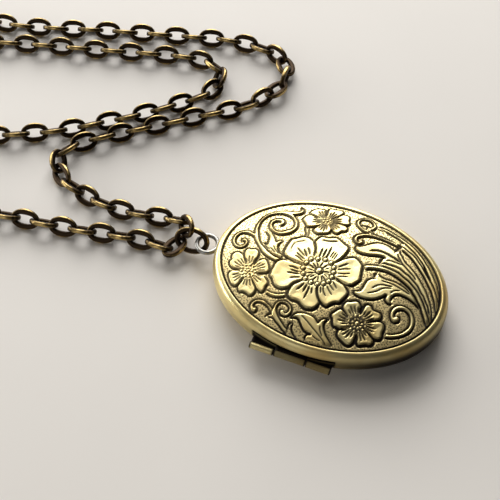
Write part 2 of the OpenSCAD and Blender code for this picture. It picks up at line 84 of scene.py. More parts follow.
# Strokes engraved round and in the motifs of the front: half width, then the points passed.
STROKES = {
    # The large flower, petal by petal, clockwise from the one that points away from the hinge.
    "main_1": (.17, [(-3.45, 3.55), (-3.25, 4.35), (-2.85, 4.85), (-2, 4.95), (-1.45, 5.2), (-.95, 5.4),
        (-.45, 5.3), (0, 5.05), (.55, 4.75), (1.1, 4.55), (1.35, 4.1), (1.25, 3.25), (1.05, 2.55),
        (.8, 1.9), (.35, 1.25)]),
    "main_2": (.17, [(1.2, 2.2), (1.55, 2.55), (2, 2.85), (2.55, 3.05), (3.05, 2.95), (3.6, 2.55),
        (4, 2.1), (4.1, 1.45), (4.2, .9), (4.3, .35), (4.35, -.2), (4.05, -.8), (3.6, -1.4),
        (3.05, -1.6)]),
    "main_3": (.18, [(2.6, -1.8), (3.05, -2.1), (3.45, -2.55), (3.5, -3), (3.3, -3.65), (3.05, -4.2),
        (2.9, -4.55), (2.25, -4.8), (1.8, -5.25), (1.45, -5.65), (.9, -5.6), (.35, -5.25), (-.1, -4.8),
        (-.45, -4.2), (-.65, -3.65), (-.75, -3.25)]),
    "main_4": (.2, [(-3, -3.1), (-3.55, -3.55), (-3.95, -4), (-4.15, -4.55), (-4.2, -5.1), (-4.2, -5.55),
        (-3.95, -6), (-3.45, -6.25), (-2.95, -6.25), (-2.4, -6.3), (-1.85, -6.65), (-1.3, -6.9),
        (-.65, -6.85), (-.1, -6.6), (.25, -6.1), (.35, -5.55)]),
    "main_5": (.15, [(-6.55, -.75), (-7.1, -1.1), (-7.4, -1.55), (-7.45, -2.1), (-7.5, -2.75),
        (-7.5, -3.3), (-7.45, -3.8), (-7, -4.1), (-6.7, -4.55), (-6.35, -4.95), (-5.85, -5.2),
        (-5.2, -5.2), (-4.65, -4.95), (-4.3, -4.65)]),
    "main_6": (.17, [(-5.9, -.35), (-6.4, -.2), (-6.8, .1), (-6.95, .55), (-6.95, 1.1), (-6.9, 1.75),
        (-6.8, 2.35), (-6.7, 2.85), (-6.2, 3.2), (-5.65, 3.65), (-5.2, 3.95), (-4.55, 4), (-4.1, 3.85),
        (-3.65, 3.6)]),
    "main_fold": (.1, [(-2.55, 4.2), (-1.85, 4.25), (-1.2, 4.45), (-.55, 4.75)]),
    "main_6_1": (.14, [(-3.65, 3.6), (-3.25, 3.2), (-2.95, 2.45), (-2.85, 1.75), (-2.75, 1.1)]),
    "main_2_3": (.07, [(3.05, -1.6), (2.45, -1.6), (1.8, -1.4), (1.25, -1.15)]),
    "main_5_6": (.09, [(-6.55, -.75), (-5.95, -.4), (-5.3, -.55), (-4.55, -.75), (-3.85, -.8)]),
    "main_dent_1": (.06, [(-5.85, 2.55), (-5.3, 2.9), (-4.85, 3.2)]),
    "main_dent_2": (.06, [(-6.15, 1.25), (-6.1, 2), (-6, 2.45)]),
    # The flower on the left.
    "left_1": (.13, [(-11.35, -2.7), (-11.8, -2.05), (-12.1, -1.4), (-12.1, -.8), (-11.85, -.45),
        (-11.35, -.45), (-10.9, -.25), (-10.5, -.35), (-10.15, -.65), (-10, -1.2), (-10.05, -1.8),
        (-10.15, -2.65)]),
    "left_2": (.13, [(-9.8, -2.1), (-9.5, -1.7), (-9.05, -1.45), (-8.65, -1.55), (-8.35, -1.9),
        (-8.1, -2.25), (-7.85, -2.7), (-7.75, -3.1), (-7.9, -3.5), (-8.45, -3.7), (-9.1, -3.9)]),
    "left_3": (.13, [(-8.6, -6.05), (-8.2, -6.35), (-7.75, -6.55), (-7.4, -6.4), (-7.3, -6.05),
        (-7.3, -5.55), (-7.15, -5.1), (-7.3, -4.7), (-7.65, -4.4), (-8.05, -4.15)]),
    "left_4": (.13, [(-11, -6.7), (-10.8, -7.1), (-10.45, -7.35), (-9.95, -7.2), (-9.5, -7.3),
        (-9.05, -7.5), (-8.65, -7.35), (-8.45, -6.95), (-8.4, -6.55), (-8.5, -6.2), (-8.9, -5.75),
        (-9.35, -5.25)]),
    "left_5": (.13, [(-12.7, -4.5), (-12.95, -4.8), (-13, -5.25), (-12.8, -5.65), (-12.5, -6.05),
        (-12.2, -6.4), (-11.8, -6.65), (-11.45, -6.7), (-11.1, -6.5), (-10.95, -6.1), (-10.8, -5.65),
        (-10.7, -5.25)]),
    "left_6": (.13, [(-12.1, -1.7), (-12.6, -1.45), (-13.05, -1.4), (-13.45, -1.65), (-13.65, -2.05),
        (-13.6, -2.5), (-13.45, -2.8), (-13.6, -3.2), (-13.45, -3.65), (-13.1, -4), (-12.65, -4.2),
        (-12.1, -4.15), (-11.6, -4.25)]),
    # The flower at the top.
    "top_1": (.13, [(-3.55, 9.5), (-3.65, 10), (-3.45, 10.45), (-2.85, 10.5), (-2.45, 10.6),
        (-1.95, 10.7), (-1.55, 10.6), (-1.4, 10.25), (-1.55, 9.85), (-1.85, 9.35), (-2.05, 9)]),
    "top_2": (.13, [(-1.5, 9.9), (-1.2, 10), (-.85, 10.05), (-.45, 9.95), (-.25, 9.6), (-.2, 9.1),
        (.05, 8.7), (0, 8.35), (-.35, 8.1), (-.8, 8), (-1.35, 8)]),
    "top_3": (.13, [(-.8, 8), (-.3, 7.95), (.05, 7.6), (.05, 7.2), (-.2, 6.85), (-.6, 6.7), (-.85, 6.25),
        (-1.1, 6.05), (-1.45, 6.05), (-1.8, 6.25), (-2, 6.6)]),
    "top_4": (.13, [(-2, 6.6), (-2.05, 6.1), (-2.2, 5.7), (-2.6, 5.45), (-3.05, 5.25), (-3.55, 5.05),
        (-3.95, 5.1), (-4.35, 5.35), (-4.45, 5.7), (-4.1, 6.3)]),
    "top_5": (.13, [(-3.85, 6.6), (-4.3, 6.25), (-4.8, 5.95), (-5.3, 5.8), (-5.6, 5.95), (-5.85, 6.25),
        (-6.3, 6.7), (-6.5, 7), (-6.4, 7.45), (-6.2, 7.85), (-5.85, 8.1), (-5.35, 8.15), (-4.7, 7.95)]),
    "top_6": (.13, [(-5.95, 8.35), (-5.95, 8.7), (-5.7, 9.2), (-5.45, 9.5), (-5.05, 9.75), (-4.55, 9.85),
        (-4.1, 9.95), (-3.85, 9.7), (-3.6, 9.2), (-3.55, 8.85)]),
    "top_stem_1": (.13, [(-5.65, 5.85), (-5.5, 5.25), (-5.2, 4.7), (-5.05, 4.2)]),
    "top_stem_2": (.1, [(-5.05, 5.6), (-4.85, 5), (-4.7, 4.35)]),
    # The flower at the lower right.
    "right_1": (.2, [(4.55, -5.9), (3.7, -5.3), (3.4, -4.9), (3.4, -4.45), (3.65, -3.95), (4.2, -3.7),
        (4.75, -3.4), (5.2, -3.35), (5.55, -3.6), (5.8, -3.95), (5.85, -4.65), (5.95, -5)]),
    "right_2": (.2, [(6.05, -4.85), (6.05, -4.05), (6.2, -3.5), (6.55, -3.25), (7.05, -3.3), (7.4, -3.7),
        (8, -3.75), (8.45, -3.8), (8.75, -4.15), (8.75, -4.75), (8.35, -5.1), (7.8, -5.4), (7.3, -5.8)]),
    "right_3": (.2, [(8.45, -5.1), (9.1, -5), (9.5, -5.3), (9.65, -5.9), (9.6, -6.45), (9.7, -7),
        (9.5, -7.5), (9.05, -7.65), (8.55, -7.6), (8.1, -7.3), (7.6, -7)]),
    "right_4": (.2, [(8.65, -7.65), (8.85, -7.95), (8.85, -8.35), (8.55, -8.75), (8.1, -8.85),
        (7.7, -9.05), (7.3, -9.25), (6.95, -9.2), (6.65, -8.85), (6.5, -8.35), (6.35, -7.95)]),
    "right_5": (.2, [(6.35, -8), (6.4, -9.1), (6.1, -9.7), (5.6, -9.8), (5.05, -9.6), (4.45, -9.3),
        (4.05, -9), (3.9, -8.55), (4, -8.15), (4.35, -7.9), (4.85, -7.7)]),
    "right_6": (.2, [(4.25, -7.9), (3.7, -8), (3.2, -7.95), (2.9, -7.6), (2.65, -7), (2.35, -6.65),
        (2.4, -6.25), (2.65, -5.9), (2.95, -5.45), (3.3, -5.2), (3.7, -5.3)]),
    # The stem from the large flower, which forks into two spirals.
    "fork_low": (.12, [(-11.9, 2.2), (-12.35, 2.35), (-12.9, 2.5), (-13.5, 2.35), (-14.05, 1.95),
        (-14.45, 1.45), (-14.6, .8), (-14.5, .1), (-14.2, -.35), (-13.75, -.7), (-13.3, -.8),
        (-12.8, -.7), (-12.45, -.4), (-12.25, .05), (-12.25, .5), (-12.5, .9), (-12.9, 1.05),
        (-13.25, .9), (-13.3, .6), (-13.15, .3)]),
    "stem_low": (.12, [(-7.35, -1.35), (-7.65, -1.35), (-8.3, -1.2), (-8.8, -1.05), (-9.35, -.8),
        (-9.8, -.5), (-10.2, -.1), (-10.6, .3), (-11.05, .75), (-11.5, 1.2), (-11.8, 1.6), (-12.3, 1.8),
        (-12.9, 1.9), (-13.5, 1.8), (-13.9, 1.5), (-14.1, .95), (-14.1, .35), (-13.85, -.1),
        (-13.45, -.35), (-12.95, -.25), (-12.7, .05), (-12.7, .4), (-12.95, .55)]),
    "fork_high": (.13, [(-11.95, 2.25), (-12.15, 2.75), (-12.25, 3.4), (-12.25, 4), (-12.15, 4.7),
        (-12, 5.3), (-11.7, 5.9), (-11.3, 6.45), (-10.7, 6.9), (-10.1, 7.3), (-9.45, 7.55), (-8.85, 7.75),
        (-8.25, 7.85), (-7.7, 8.05), (-7.3, 8.35), (-7.25, 8.7), (-7.4, 9), (-7.5, 9.1)]),
    "flick": (.16, [(-7.4, 9.15), (-7.1, 9), (-6.75, 8.6), (-6.75, 8.15), (-7.1, 7.7), (-7.55, 7.4),
        (-8, 7.25)]),
    "coil_out": (.14, [(-7.75, 7.1), (-7.3, 6.7), (-6.9, 6.25), (-6.65, 5.6), (-6.6, 5), (-6.85, 4.3),
        (-7.25, 3.75), (-7.85, 3.35), (-8.45, 3.1), (-9, 3.1), (-9.55, 3.25), (-10, 3.5), (-10.4, 3.9),
        (-10.6, 4.45), (-10.6, 5.1), (-10.3, 5.55), (-9.85, 5.85), (-9.3, 6), (-8.85, 5.9), (-8.55, 5.55),
        (-8.6, 5.1), (-8.9, 4.75), (-9.1, 4.75)]),
    "coil_in": (.13, [(-9.15, 5.35), (-9.45, 5.4), (-9.85, 5.25), (-10.1, 4.9), (-10.1, 4.45),
        (-9.85, 4.1), (-9.45, 3.75), (-8.9, 3.65), (-8.3, 3.85), (-7.85, 4.25), (-7.4, 4.6), (-7.2, 5.1),
        (-7.25, 5.7), (-7.45, 6.15), (-7.85, 6.55), (-8.4, 6.8), (-9, 6.9), (-9.6, 6.85), (-10.25, 6.6),
        (-10.7, 6.3), (-11.1, 6), (-11.45, 5.45), (-11.7, 4.85), (-11.8, 4.25), (-11.75, 3.6),
        (-11.7, 3.1), (-11.45, 2.55), (-11.15, 1.9), (-10.85, 1.35), (-10.5, .9), (-10.1, .6),
        (-9.65, .3), (-9.05, -.1), (-8.45, -.4), (-7.8, -.65), (-7.2, -.7), (-6.7, -.75)]),
    # The three-lobed leaf on that stem.
    "lobe_a": (.15, [(-10.6, 3.05), (-10.2, 2.75), (-9.8, 2.35), (-9.65, 1.8), (-9.6, 1.3), (-9.55, 1)]),
    "lobe_b": (.12, [(-9.65, 2.95), (-9.2, 2.65), (-8.8, 2.2), (-8.5, 1.75), (-8.3, 2.1), (-7.9, 2.2),
        (-7.6, 2.1)]),
    "lobe_c": (.13, [(-7.9, 1.75), (-8.05, 1.3), (-7.95, .9), (-7.75, .5), (-7.35, .05), (-6.9, -.1)]),
    "lobe_tip": (.15, [(-10.15, 1.1), (-9.55, 1)]),
    "lobe_line_1": (.08, [(-8.6, .9), (-8.3, .5), (-7.8, .1), (-7.5, -.1)]),
    "lobe_line_2": (.08, [(-8.9, .5), (-8.5, .2), (-8.05, -.1)]),
    "lobe_line_3": (.08, [(-9.8, .8), (-9.4, .5), (-8.95, .25)]),
    "twin_1": (.12, [(-7.1, -5.9), (-6.55, -6.05), (-5.95, -6.1), (-5.3, -6), (-4.75, -5.75),
        (-4.45, -5.55)]),
    "twin_2": (.12, [(-7, -6.4), (-6.4, -6.6), (-5.75, -6.65), (-5.1, -6.5), (-4.55, -6.25),
        (-4.3, -6.1)]),
    # The hook, the small spiral and the leaf along the near edge.
    "hook_out": (.14, [(-5.25, -8.35), (-5.6, -8.05), (-6.15, -7.75), (-6.75, -7.5), (-7.4, -7.5),
        (-7.95, -7.75), (-8.3, -8.15), (-8.4, -8.7), (-8.25, -9.15), (-7.95, -9.5), (-7.5, -9.55),
        (-7.25, -9.25), (-7.3, -8.85), (-7.6, -8.75), (-7.75, -8.9)]),
    "hook_in": (.12, [(-5.2, -8.95), (-5.5, -8.7), (-5.95, -8.3), (-6.5, -8.05), (-7.05, -7.95),
        (-7.6, -8.05), (-7.85, -8.35), (-7.9, -8.75)]),
    "hook_notch": (.14, [(-5.2, -9), (-5.6, -9.15), (-5.85, -9.6)]),
    "near_line": (.12, [(-5.5, -9.5), (-4.75, -9.5), (-4.25, -9.85), (-3.6, -10.25), (-2.95, -10.7),
        (-2.4, -10.95)]),
    "near_out": (.13, [(-5.25, -8.35), (-5.25, -7.7), (-5.05, -7.15), (-4.6, -6.8), (-4.05, -6.65),
        (-3.5, -6.8), (-3, -7.15), (-2.75, -7.7), (-2.75, -8.25), (-3.05, -8.7), (-3.5, -8.85),
        (-3.95, -8.8), (-4.25, -8.4), (-4.2, -8.05), (-3.85, -7.95)]),
    "near_in": (.13, [(-2.4, -10.4), (-2.85, -10.15), (-3.3, -9.8), (-3.85, -9.35), (-4.4, -8.8),
        (-4.75, -8.25), (-4.8, -7.7), (-4.6, -7.25), (-4.15, -7.05), (-3.7, -7.15), (-3.25, -7.5),
        (-3.2, -7.95), (-3.4, -8.3), (-3.65, -8.25)]),
    "near_curl_1": (.13, [(-2.4, -10.4), (-2.5, -9.85), (-2.4, -9.4), (-2.05, -9.25)]),
    "near_curl_2": (.13, [(-1.95, -9.35), (-2, -9.85), (-1.75, -10.4), (-1.3, -10.85), (-.75, -11.15)]),
    "leaf_top": (.15, [(-2.6, -8.7), (-2.4, -8.25), (-1.95, -7.8), (-1.3, -7.55), (-.6, -7.45),
        (.15, -7.55), (.7, -7.8), (1.15, -8.25)]),
    "leaf_low": (.15, [(-2.6, -8.75), (-1.95, -8.5), (-1.5, -8.6), (-1.15, -8.95), (-.75, -9.4),
        (-.3, -9.8), (.15, -9.95), (.75, -10.05), (.3, -10.25), (.15, -10.6), (.25, -10.95)]),
    "leaf_rib": (.08, [(-1.25, -8), (-.6, -8.35), (.15, -8.8), (.85, -9.25), (1.6, -9.7), (2.3, -10.15),
        (3.05, -10.7)]),
    "leaf_line_1": (.08, [(1.05, -10.15), (1.6, -10.4), (2.25, -10.5)]),
    "leaf_line_2": (.08, [(1.55, -8.6), (1.75, -9.15), (2.25, -9.8)]),
    "leaf_curl": (.15, [(1.15, -8.25), (1.3, -7.7), (1.7, -7.35), (2.25, -7.2), (1.95, -7.8), (2, -8.35),
        (2.3, -8.95), (2.75, -9.5), (3.4, -10.05), (3.95, -10.5)]),
    # The spiral on the right.
    "wheel_out": (.14, [(10, -6.9), (10.65, -6.75), (11.3, -6.45), (12, -5.95), (12.55, -5.4),
        (12.95, -4.75), (13.1, -3.95), (13.05, -3.2), (12.75, -2.55), (12.25, -1.95), (11.7, -1.65),
        (11.05, -1.55), (10.35, -1.75), (9.9, -2.15), (9.6, -2.75), (9.6, -3.4), (9.8, -3.95),
        (10.15, -4.35), (10.55, -4.45), (11, -4.15), (11.1, -3.8), (11, -3.4), (10.55, -3.4)]),
    "wheel_in": (.14, [(10, -6.35), (10.55, -6.2), (11.1, -5.9), (11.7, -5.5), (12.15, -4.9),
        (12.45, -4.25), (12.45, -3.6), (12.25, -2.9), (11.9, -2.45), (11.3, -2.2), (10.75, -2.35),
        (10.35, -2.65), (10.2, -3.1), (10.25, -3.7)]),
    # The lobed leaf between the large flower and that spiral.
    "frond_left": (.14, [(3.95, -2), (4.45, -1.95), (4.85, -1.7), (5, -1.2), (5.1, -.55), (5.2, .05),
        (5.5, .5), (5.9, .8), (6.15, .85)]),
    "frond_notch": (.2, [(5.95, 1.15), (5.9, 1.55), (6, 1.9)]),
    "frond_top": (.14, [(6.35, 1.8), (6.75, 1.55), (7.3, 1.4), (8.1, 1.45), (8.85, 1.5), (9.7, 1.35),
        (10.45, 1.15), (11.2, .7)]),
    "frond_low": (.14, [(3.95, -2.05), (4.2, -2.45), (4.75, -2.65), (5.4, -2.7), (6.2, -2.6),
        (6.95, -2.3), (7.5, -1.9), (8, -1.4), (8.3, -1), (8.3, -1.6), (8.65, -2), (9.1, -2.1),
        (9.4, -1.95)]),
    "frond_back": (.14, [(9.1, -1.6), (9.15, -1), (9.4, -.55), (9.9, -.25), (10.55, -.2), (11.2, -.25),
        (12, -.5), (12.5, -.75), (12.95, -1.05)]),
    "frond_line_1": (.09, [(6.25, -.75), (6.55, -.35), (6.95, .05), (7.5, .3), (8.25, .45), (8.65, .5)]),
    "frond_line_2": (.09, [(5.9, -1.75), (6.45, -1.4), (7.05, -.9), (7.5, -.35), (8.1, .05), (8.65, .2)]),
    "frond_line_3": (.09, [(7.1, .85), (8.45, .95), (9.2, .85), (10.15, .65), (11.2, .4)]),
    "frond_line_4": (.09, [(8.75, -.55), (8.95, -.15), (9.3, .15), (9.8, .35)]),
    # The ball, the comma and the leaf from which the plumes sweep.
    "ball_out": (.13, [(3, 8.7), (3.4, 8.85), (3.65, 9.25), (3.7, 9.7), (3.45, 10.1), (3.05, 10.5),
        (2.55, 10.75), (1.95, 10.8), (1.45, 10.5), (1.05, 10.2), (.8, 9.75), (.8, 9.25), (1.05, 8.75),
        (1.45, 8.45), (1.95, 8.15), (2.45, 8), (2.95, 8.05)]),
    "ball_in": (.12, [(2.45, 8.5), (2.05, 8.6), (1.65, 8.85), (1.3, 9.25), (1.25, 9.75), (1.45, 10.1),
        (1.9, 10.3), (2.3, 10.35), (2.7, 10.25), (3.05, 9.95), (3.2, 9.6), (3, 9.3)]),
    "ball_shelf": (.12, [(3, 9.3), (2.4, 9.3), (1.9, 9.2), (1.45, 9.05)]),
    "ball_bar": (.15, [(2.45, 9.2), (2.45, 8.7)]),
    "comma_out": (.15, [(2.9, 7.9), (2.4, 7.75), (1.9, 7.4), (1.5, 7), (1.3, 6.5), (1.4, 6), (1.8, 5.6),
        (2.3, 5.5), (2.7, 5.75), (2.85, 6.1), (2.65, 6.4), (2.3, 6.45)]),
    "comma_in": (.15, [(7.4, 7.4), (6.6, 7.55), (5.8, 7.65), (5, 7.7), (4.2, 7.65), (3.4, 7.5),
        (2.7, 7.25), (2.2, 6.9), (1.9, 6.5), (1.95, 6.1), (2.15, 5.9)]),
    "comma_wedge": (.17, [(7.4, 7.9), (7.8, 7.7), (7.5, 7), (7.35, 6.4)]),
    "comma_line": (.1, [(3.2, 8.35), (3.8, 8.3), (4.7, 8.25), (5.5, 8.2), (6, 8.15), (6.9, 8)]),
    "sprout_top": (.15, [(2, 5.1), (2.5, 5.2), (3, 5.55), (3.6, 6.1), (4.2, 6.6), (4.9, 6.95),
        (5.7, 7.05), (6.4, 6.95), (6.9, 6.75), (7.35, 6.5)]),
    "sprout_low": (.15, [(2, 5.1), (2.05, 4.7), (2.3, 4.3), (2.8, 4.1), (3.5, 4.1), (4.3, 4.25), (5, 4.5),
        (5.6, 4.7), (6.2, 4.75), (6.45, 4.65)]),
    "sprout_notch": (.15, [(6.2, 4.6), (6, 4.3), (5.9, 3.9), (5.9, 3.5)]),
    "sprout_mid": (.15, [(4.15, 5), (4.7, 5.3), (5.4, 5.5), (6.2, 5.5), (7, 5.35), (7.8, 5.15),
        (8.5, 4.9)]),
    # The plumes, which sweep along the far edge and close in on one point.
    "plume_1": (.08, [(3.9, 9.9), (5, 9.8), (6, 9.6), (7, 9.3), (8, 9), (8.5, 8.8), (9, 8.6), (9.5, 8.35),
        (10, 8), (10.5, 7.65), (11, 7.25), (11.4, 6.9), (11.95, 6.3), (12.65, 5.6), (13.3, 4.8),
        (13.8, 4.1), (14.15, 3.7), (14.5, 3.05), (14.75, 2.5), (15, 1.9), (15.15, 1.1), (15.3, .5),
        (15.45, 0), (15.65, -.5)]),
    "plume_dash": (.08, [(3.95, 9.4), (4.3, 9.4), (4.7, 9.35)]),
    "plume_2": (.08, [(5.2, 9.35), (6, 9.15), (7, 8.88), (7.5, 8.68), (8, 8.45), (8.5, 8.25), (9, 7.95),
        (9.5, 7.65), (10, 7.35), (10.5, 6.95), (11, 6.5), (11.4, 6.15), (11.75, 5.8), (12.1, 5.35),
        (12.5, 4.8), (12.95, 4.25), (13.3, 3.7), (13.75, 3.2), (14.15, 2.65), (14.5, 2.1), (14.8, 1.6),
        (15.1, 1)]),
    "plume_shade": (.17, [(11.75, 5.7), (12.1, 5.2), (12.5, 4.65), (12.95, 4.1), (13.3, 3.6)]),
    "plume_3": (.1, [(7.8, 7.8), (8.5, 7.5), (9, 7.25), (9.5, 7.05), (10, 6.8), (10.5, 6.45),
        (10.9, 6.05), (11.2, 5.8), (11.6, 5.4), (12, 4.95), (12.45, 4.45), (12.95, 3.95)]),
    "plume_4": (.11, [(8.15, 7.1), (8.5, 6.95), (9, 6.7), (9.5, 6.45), (10, 6.1), (10.6, 5.6),
        (11.2, 5.05), (11.55, 4.7), (11.9, 4.35), (12.2, 4.05), (12.55, 3.65), (12.95, 3.15),
        (13.3, 2.75), (13.75, 2.2), (14.05, 1.7), (14.4, 1.15), (14.65, .7), (14.85, .15), (15.05, -.3),
        (15.25, -.75), (15.45, -1.2), (15.6, -1.6)]),
    "plume_5": (.13, [(7.9, 7), (8.1, 6.5), (8.45, 6.1), (8.7, 5.8), (9, 5.45), (9.4, 5.1), (10, 4.8),
        (10.5, 4.45), (10.9, 4.15), (11.25, 3.85), (11.65, 3.5), (12, 3.15), (12.45, 2.65), (12.9, 2.2),
        (13.3, 1.7), (13.65, 1.15), (13.95, .7), (14.2, .3), (14.45, -.2), (14.65, -.7), (14.8, -1.15),
        (14.95, -1.7), (15.1, -2.2), (15.2, -2.75)]),
    "plume_6": (.1, [(7.85, 6.05), (8.05, 5.7), (8.4, 5.3), (8.7, 4.95), (9.1, 4.6), (9.7, 4.2),
        (10.3, 3.8), (10.9, 3.4), (11.3, 3)]),
    "plume_7": (.09, [(6.7, 4.3), (7.2, 4.5), (7.8, 4.55), (8.4, 4.55), (9, 4.6)]),
    "plume_8": (.13, [(6.2, 3.55), (6.7, 3.75), (7.4, 3.8), (8, 3.85), (8.8, 3.8), (9.2, 3.65),
        (9.7, 3.4), (10.3, 3.2), (10.6, 3), (11, 2.75), (11.35, 2.5), (11.85, 2.15), (12.15, 1.8),
        (12.55, 1.35), (13.05, .9), (13.4, .45), (13.65, .1), (13.95, -.25), (14.25, -.8),
        (14.55, -1.4)]),
    "plume_9": (.14, [(4.1, 2.35), (4.6, 2.65), (5.3, 2.9), (6, 3.1), (6.8, 3.2), (7.5, 3.2), (8.2, 3.15),
        (8.8, 3.05), (9.2, 2.9), (9.6, 2.7), (10, 2.55), (10.5, 2.35), (10.9, 2.1), (11.35, 1.8),
        (11.85, 1.45), (12.15, 1.2), (12.55, .8), (12.95, .35), (13.25, 0), (13.6, -.5), (13.85, -.9),
        (14.25, -1.45), (14.55, -1.9), (14.9, -2.55)]),
    "plume_10": (.15, [(4.5, 1.75), (5, 2.05), (5.7, 2.3), (6.4, 2.45), (7.2, 2.55), (8, 2.5), (8.8, 2.3),
        (9.4, 2.1), (10, 1.85), (10.6, 1.55), (11.2, 1.2), (11.5, .85), (11.85, .55), (12.15, .25),
        (12.55, -.25), (13.1, -.8), (13.45, -1.4), (13.8, -1.9), (14.15, -2.45), (14.5, -2.95),
        (14.8, -3.5)]),
}

# Raised forms: each outline is strokes, a leading - for one run backwards, and points between them.
FORMS = [
    ["stem_low", "-fork_low", "fork_high", "flick", "coil_out", "coil_in"],
    ["-lobe_a", "lobe_b", "lobe_c", (-6.9, -.6), (-8.1, -.45), (-9.2, .1)],
    ["hook_out", "-hook_in"],
    [(-2.4, -10.95), (-2.95, -10.7), (-3.6, -10.25), (-4.25, -9.85), (-4.75, -9.4), (-5.2, -8.95),
        "near_out", "-near_in"],
    ["leaf_top", "leaf_curl", (2.6, -10.85), "-leaf_low"],
    ["wheel_out", "-wheel_in"],
    ["frond_left", (6.05, 1.2), (6.15, 1.8), "frond_top", (11.9, .3), (12.6, -.5), "-frond_back",
        "-frond_low"],
    ["ball_out", "-ball_in"],
    [(7.4, 7.9), (6, 7.98), (4.5, 8.05), "comma_out", "-comma_in"],
    ["sprout_top", (7.6, 6.1), (7.7, 5.2), (7.2, 4.7), "-sprout_low"],
    [(4, 10.6), (5, 10.4), (6, 10.1), (7, 9.8), (8, 9.4), (9, 8.9), (10, 8.3), (11, 7.6), (12, 6.8),
        (13, 5.8), (13.6, 5), (14.2, 4.1), (14.7, 3), (15, 2.1), (15.2, 1.2), (15.25, .2), "-plume_1"],
    ["plume_1", "-plume_2"],
    [(8, 8.45), (8.5, 8.25), (9, 7.95), (9.5, 7.65), (10, 7.35), (10.5, 6.95), (11, 6.5), (11.75, 5.8),
        (12.5, 4.8), (13.3, 3.7), (14.15, 2.65), (14.8, 1.6), (15.1, 1), "-plume_4", (7.9, 7.5)],
    ["plume_5", "-plume_10", (4.1, 2.35), (4.6, 2.65), (5.3, 2.9), (6, 3.1), (6.2, 3.55), (6.1, 4.3),
        (6.7, 5.4)],
    ["twin_1", "-twin_2"],
]

# Flowers: centre, the first word of their petals' strokes, radius of the raised middle, rings of beads
# as (count, radius, bead radius, turn), patina in the middle as (radius, strength, strength round the
# beads), and the stamens of each petal as (start, end, count, half width).
FLOWERS = [
    ((-1.3, -.9), "main", 2, [(1, 0, .45, 0)], (.8, .7, 1), None),
    ((-10.5, -3.95), "left", 1.3, [(1, 0, .24, 0), (6, .45, .17, 10), (11, .95, .2, 0)], (1.5, .1, .3),
     (1.35, 2.5, 4, .08)),
    ((-3.1, 7.85), "top", 1.3, [(1, 0, .2, 0), (7, .5, .14, 0)], (1.3, .6, .6), (.8, 2.2, 4, .1)),
    ((6, -6.5), "right", 1.3, [(1, 0, .28, 0), (9, .65, .13, 15), (12, 1.15, .15, 0)], (1.75, .95, 1),
     (1.4, 2.6, 4, .13)),
]
PETALS = 6
MIDDLE_SHARE = .7  # height of a flower's middle over that of its petals
MIDDLE_EDGE = .6  # width of its rounded edge
STAMEN_TURN = 12  # degrees between the stamens of a petal
SPOKES = 14  # short grooves round the beads of a small flower
BEAD_BASE = .18  # height of the foot of a bead

# Beads round the middle of the large flower.
MAIN_BEADS = [(-2.1, .85), (-1.1, 1.1), (-.2, .9), (.4, .3), (.6, -.45), (.65, -1.25), (.45, -2.05),
              (-.1, -2.6), (-.85, -3), (-1.75, -3), (-2.65, -2.7), (-3.2, -2.05), (-3.5, -1.2),
              (-3.35, -.25), (-2.95, .5)]
MAIN_BEAD_RADIUS = .3
MAIN_BEAD_BASE = .24

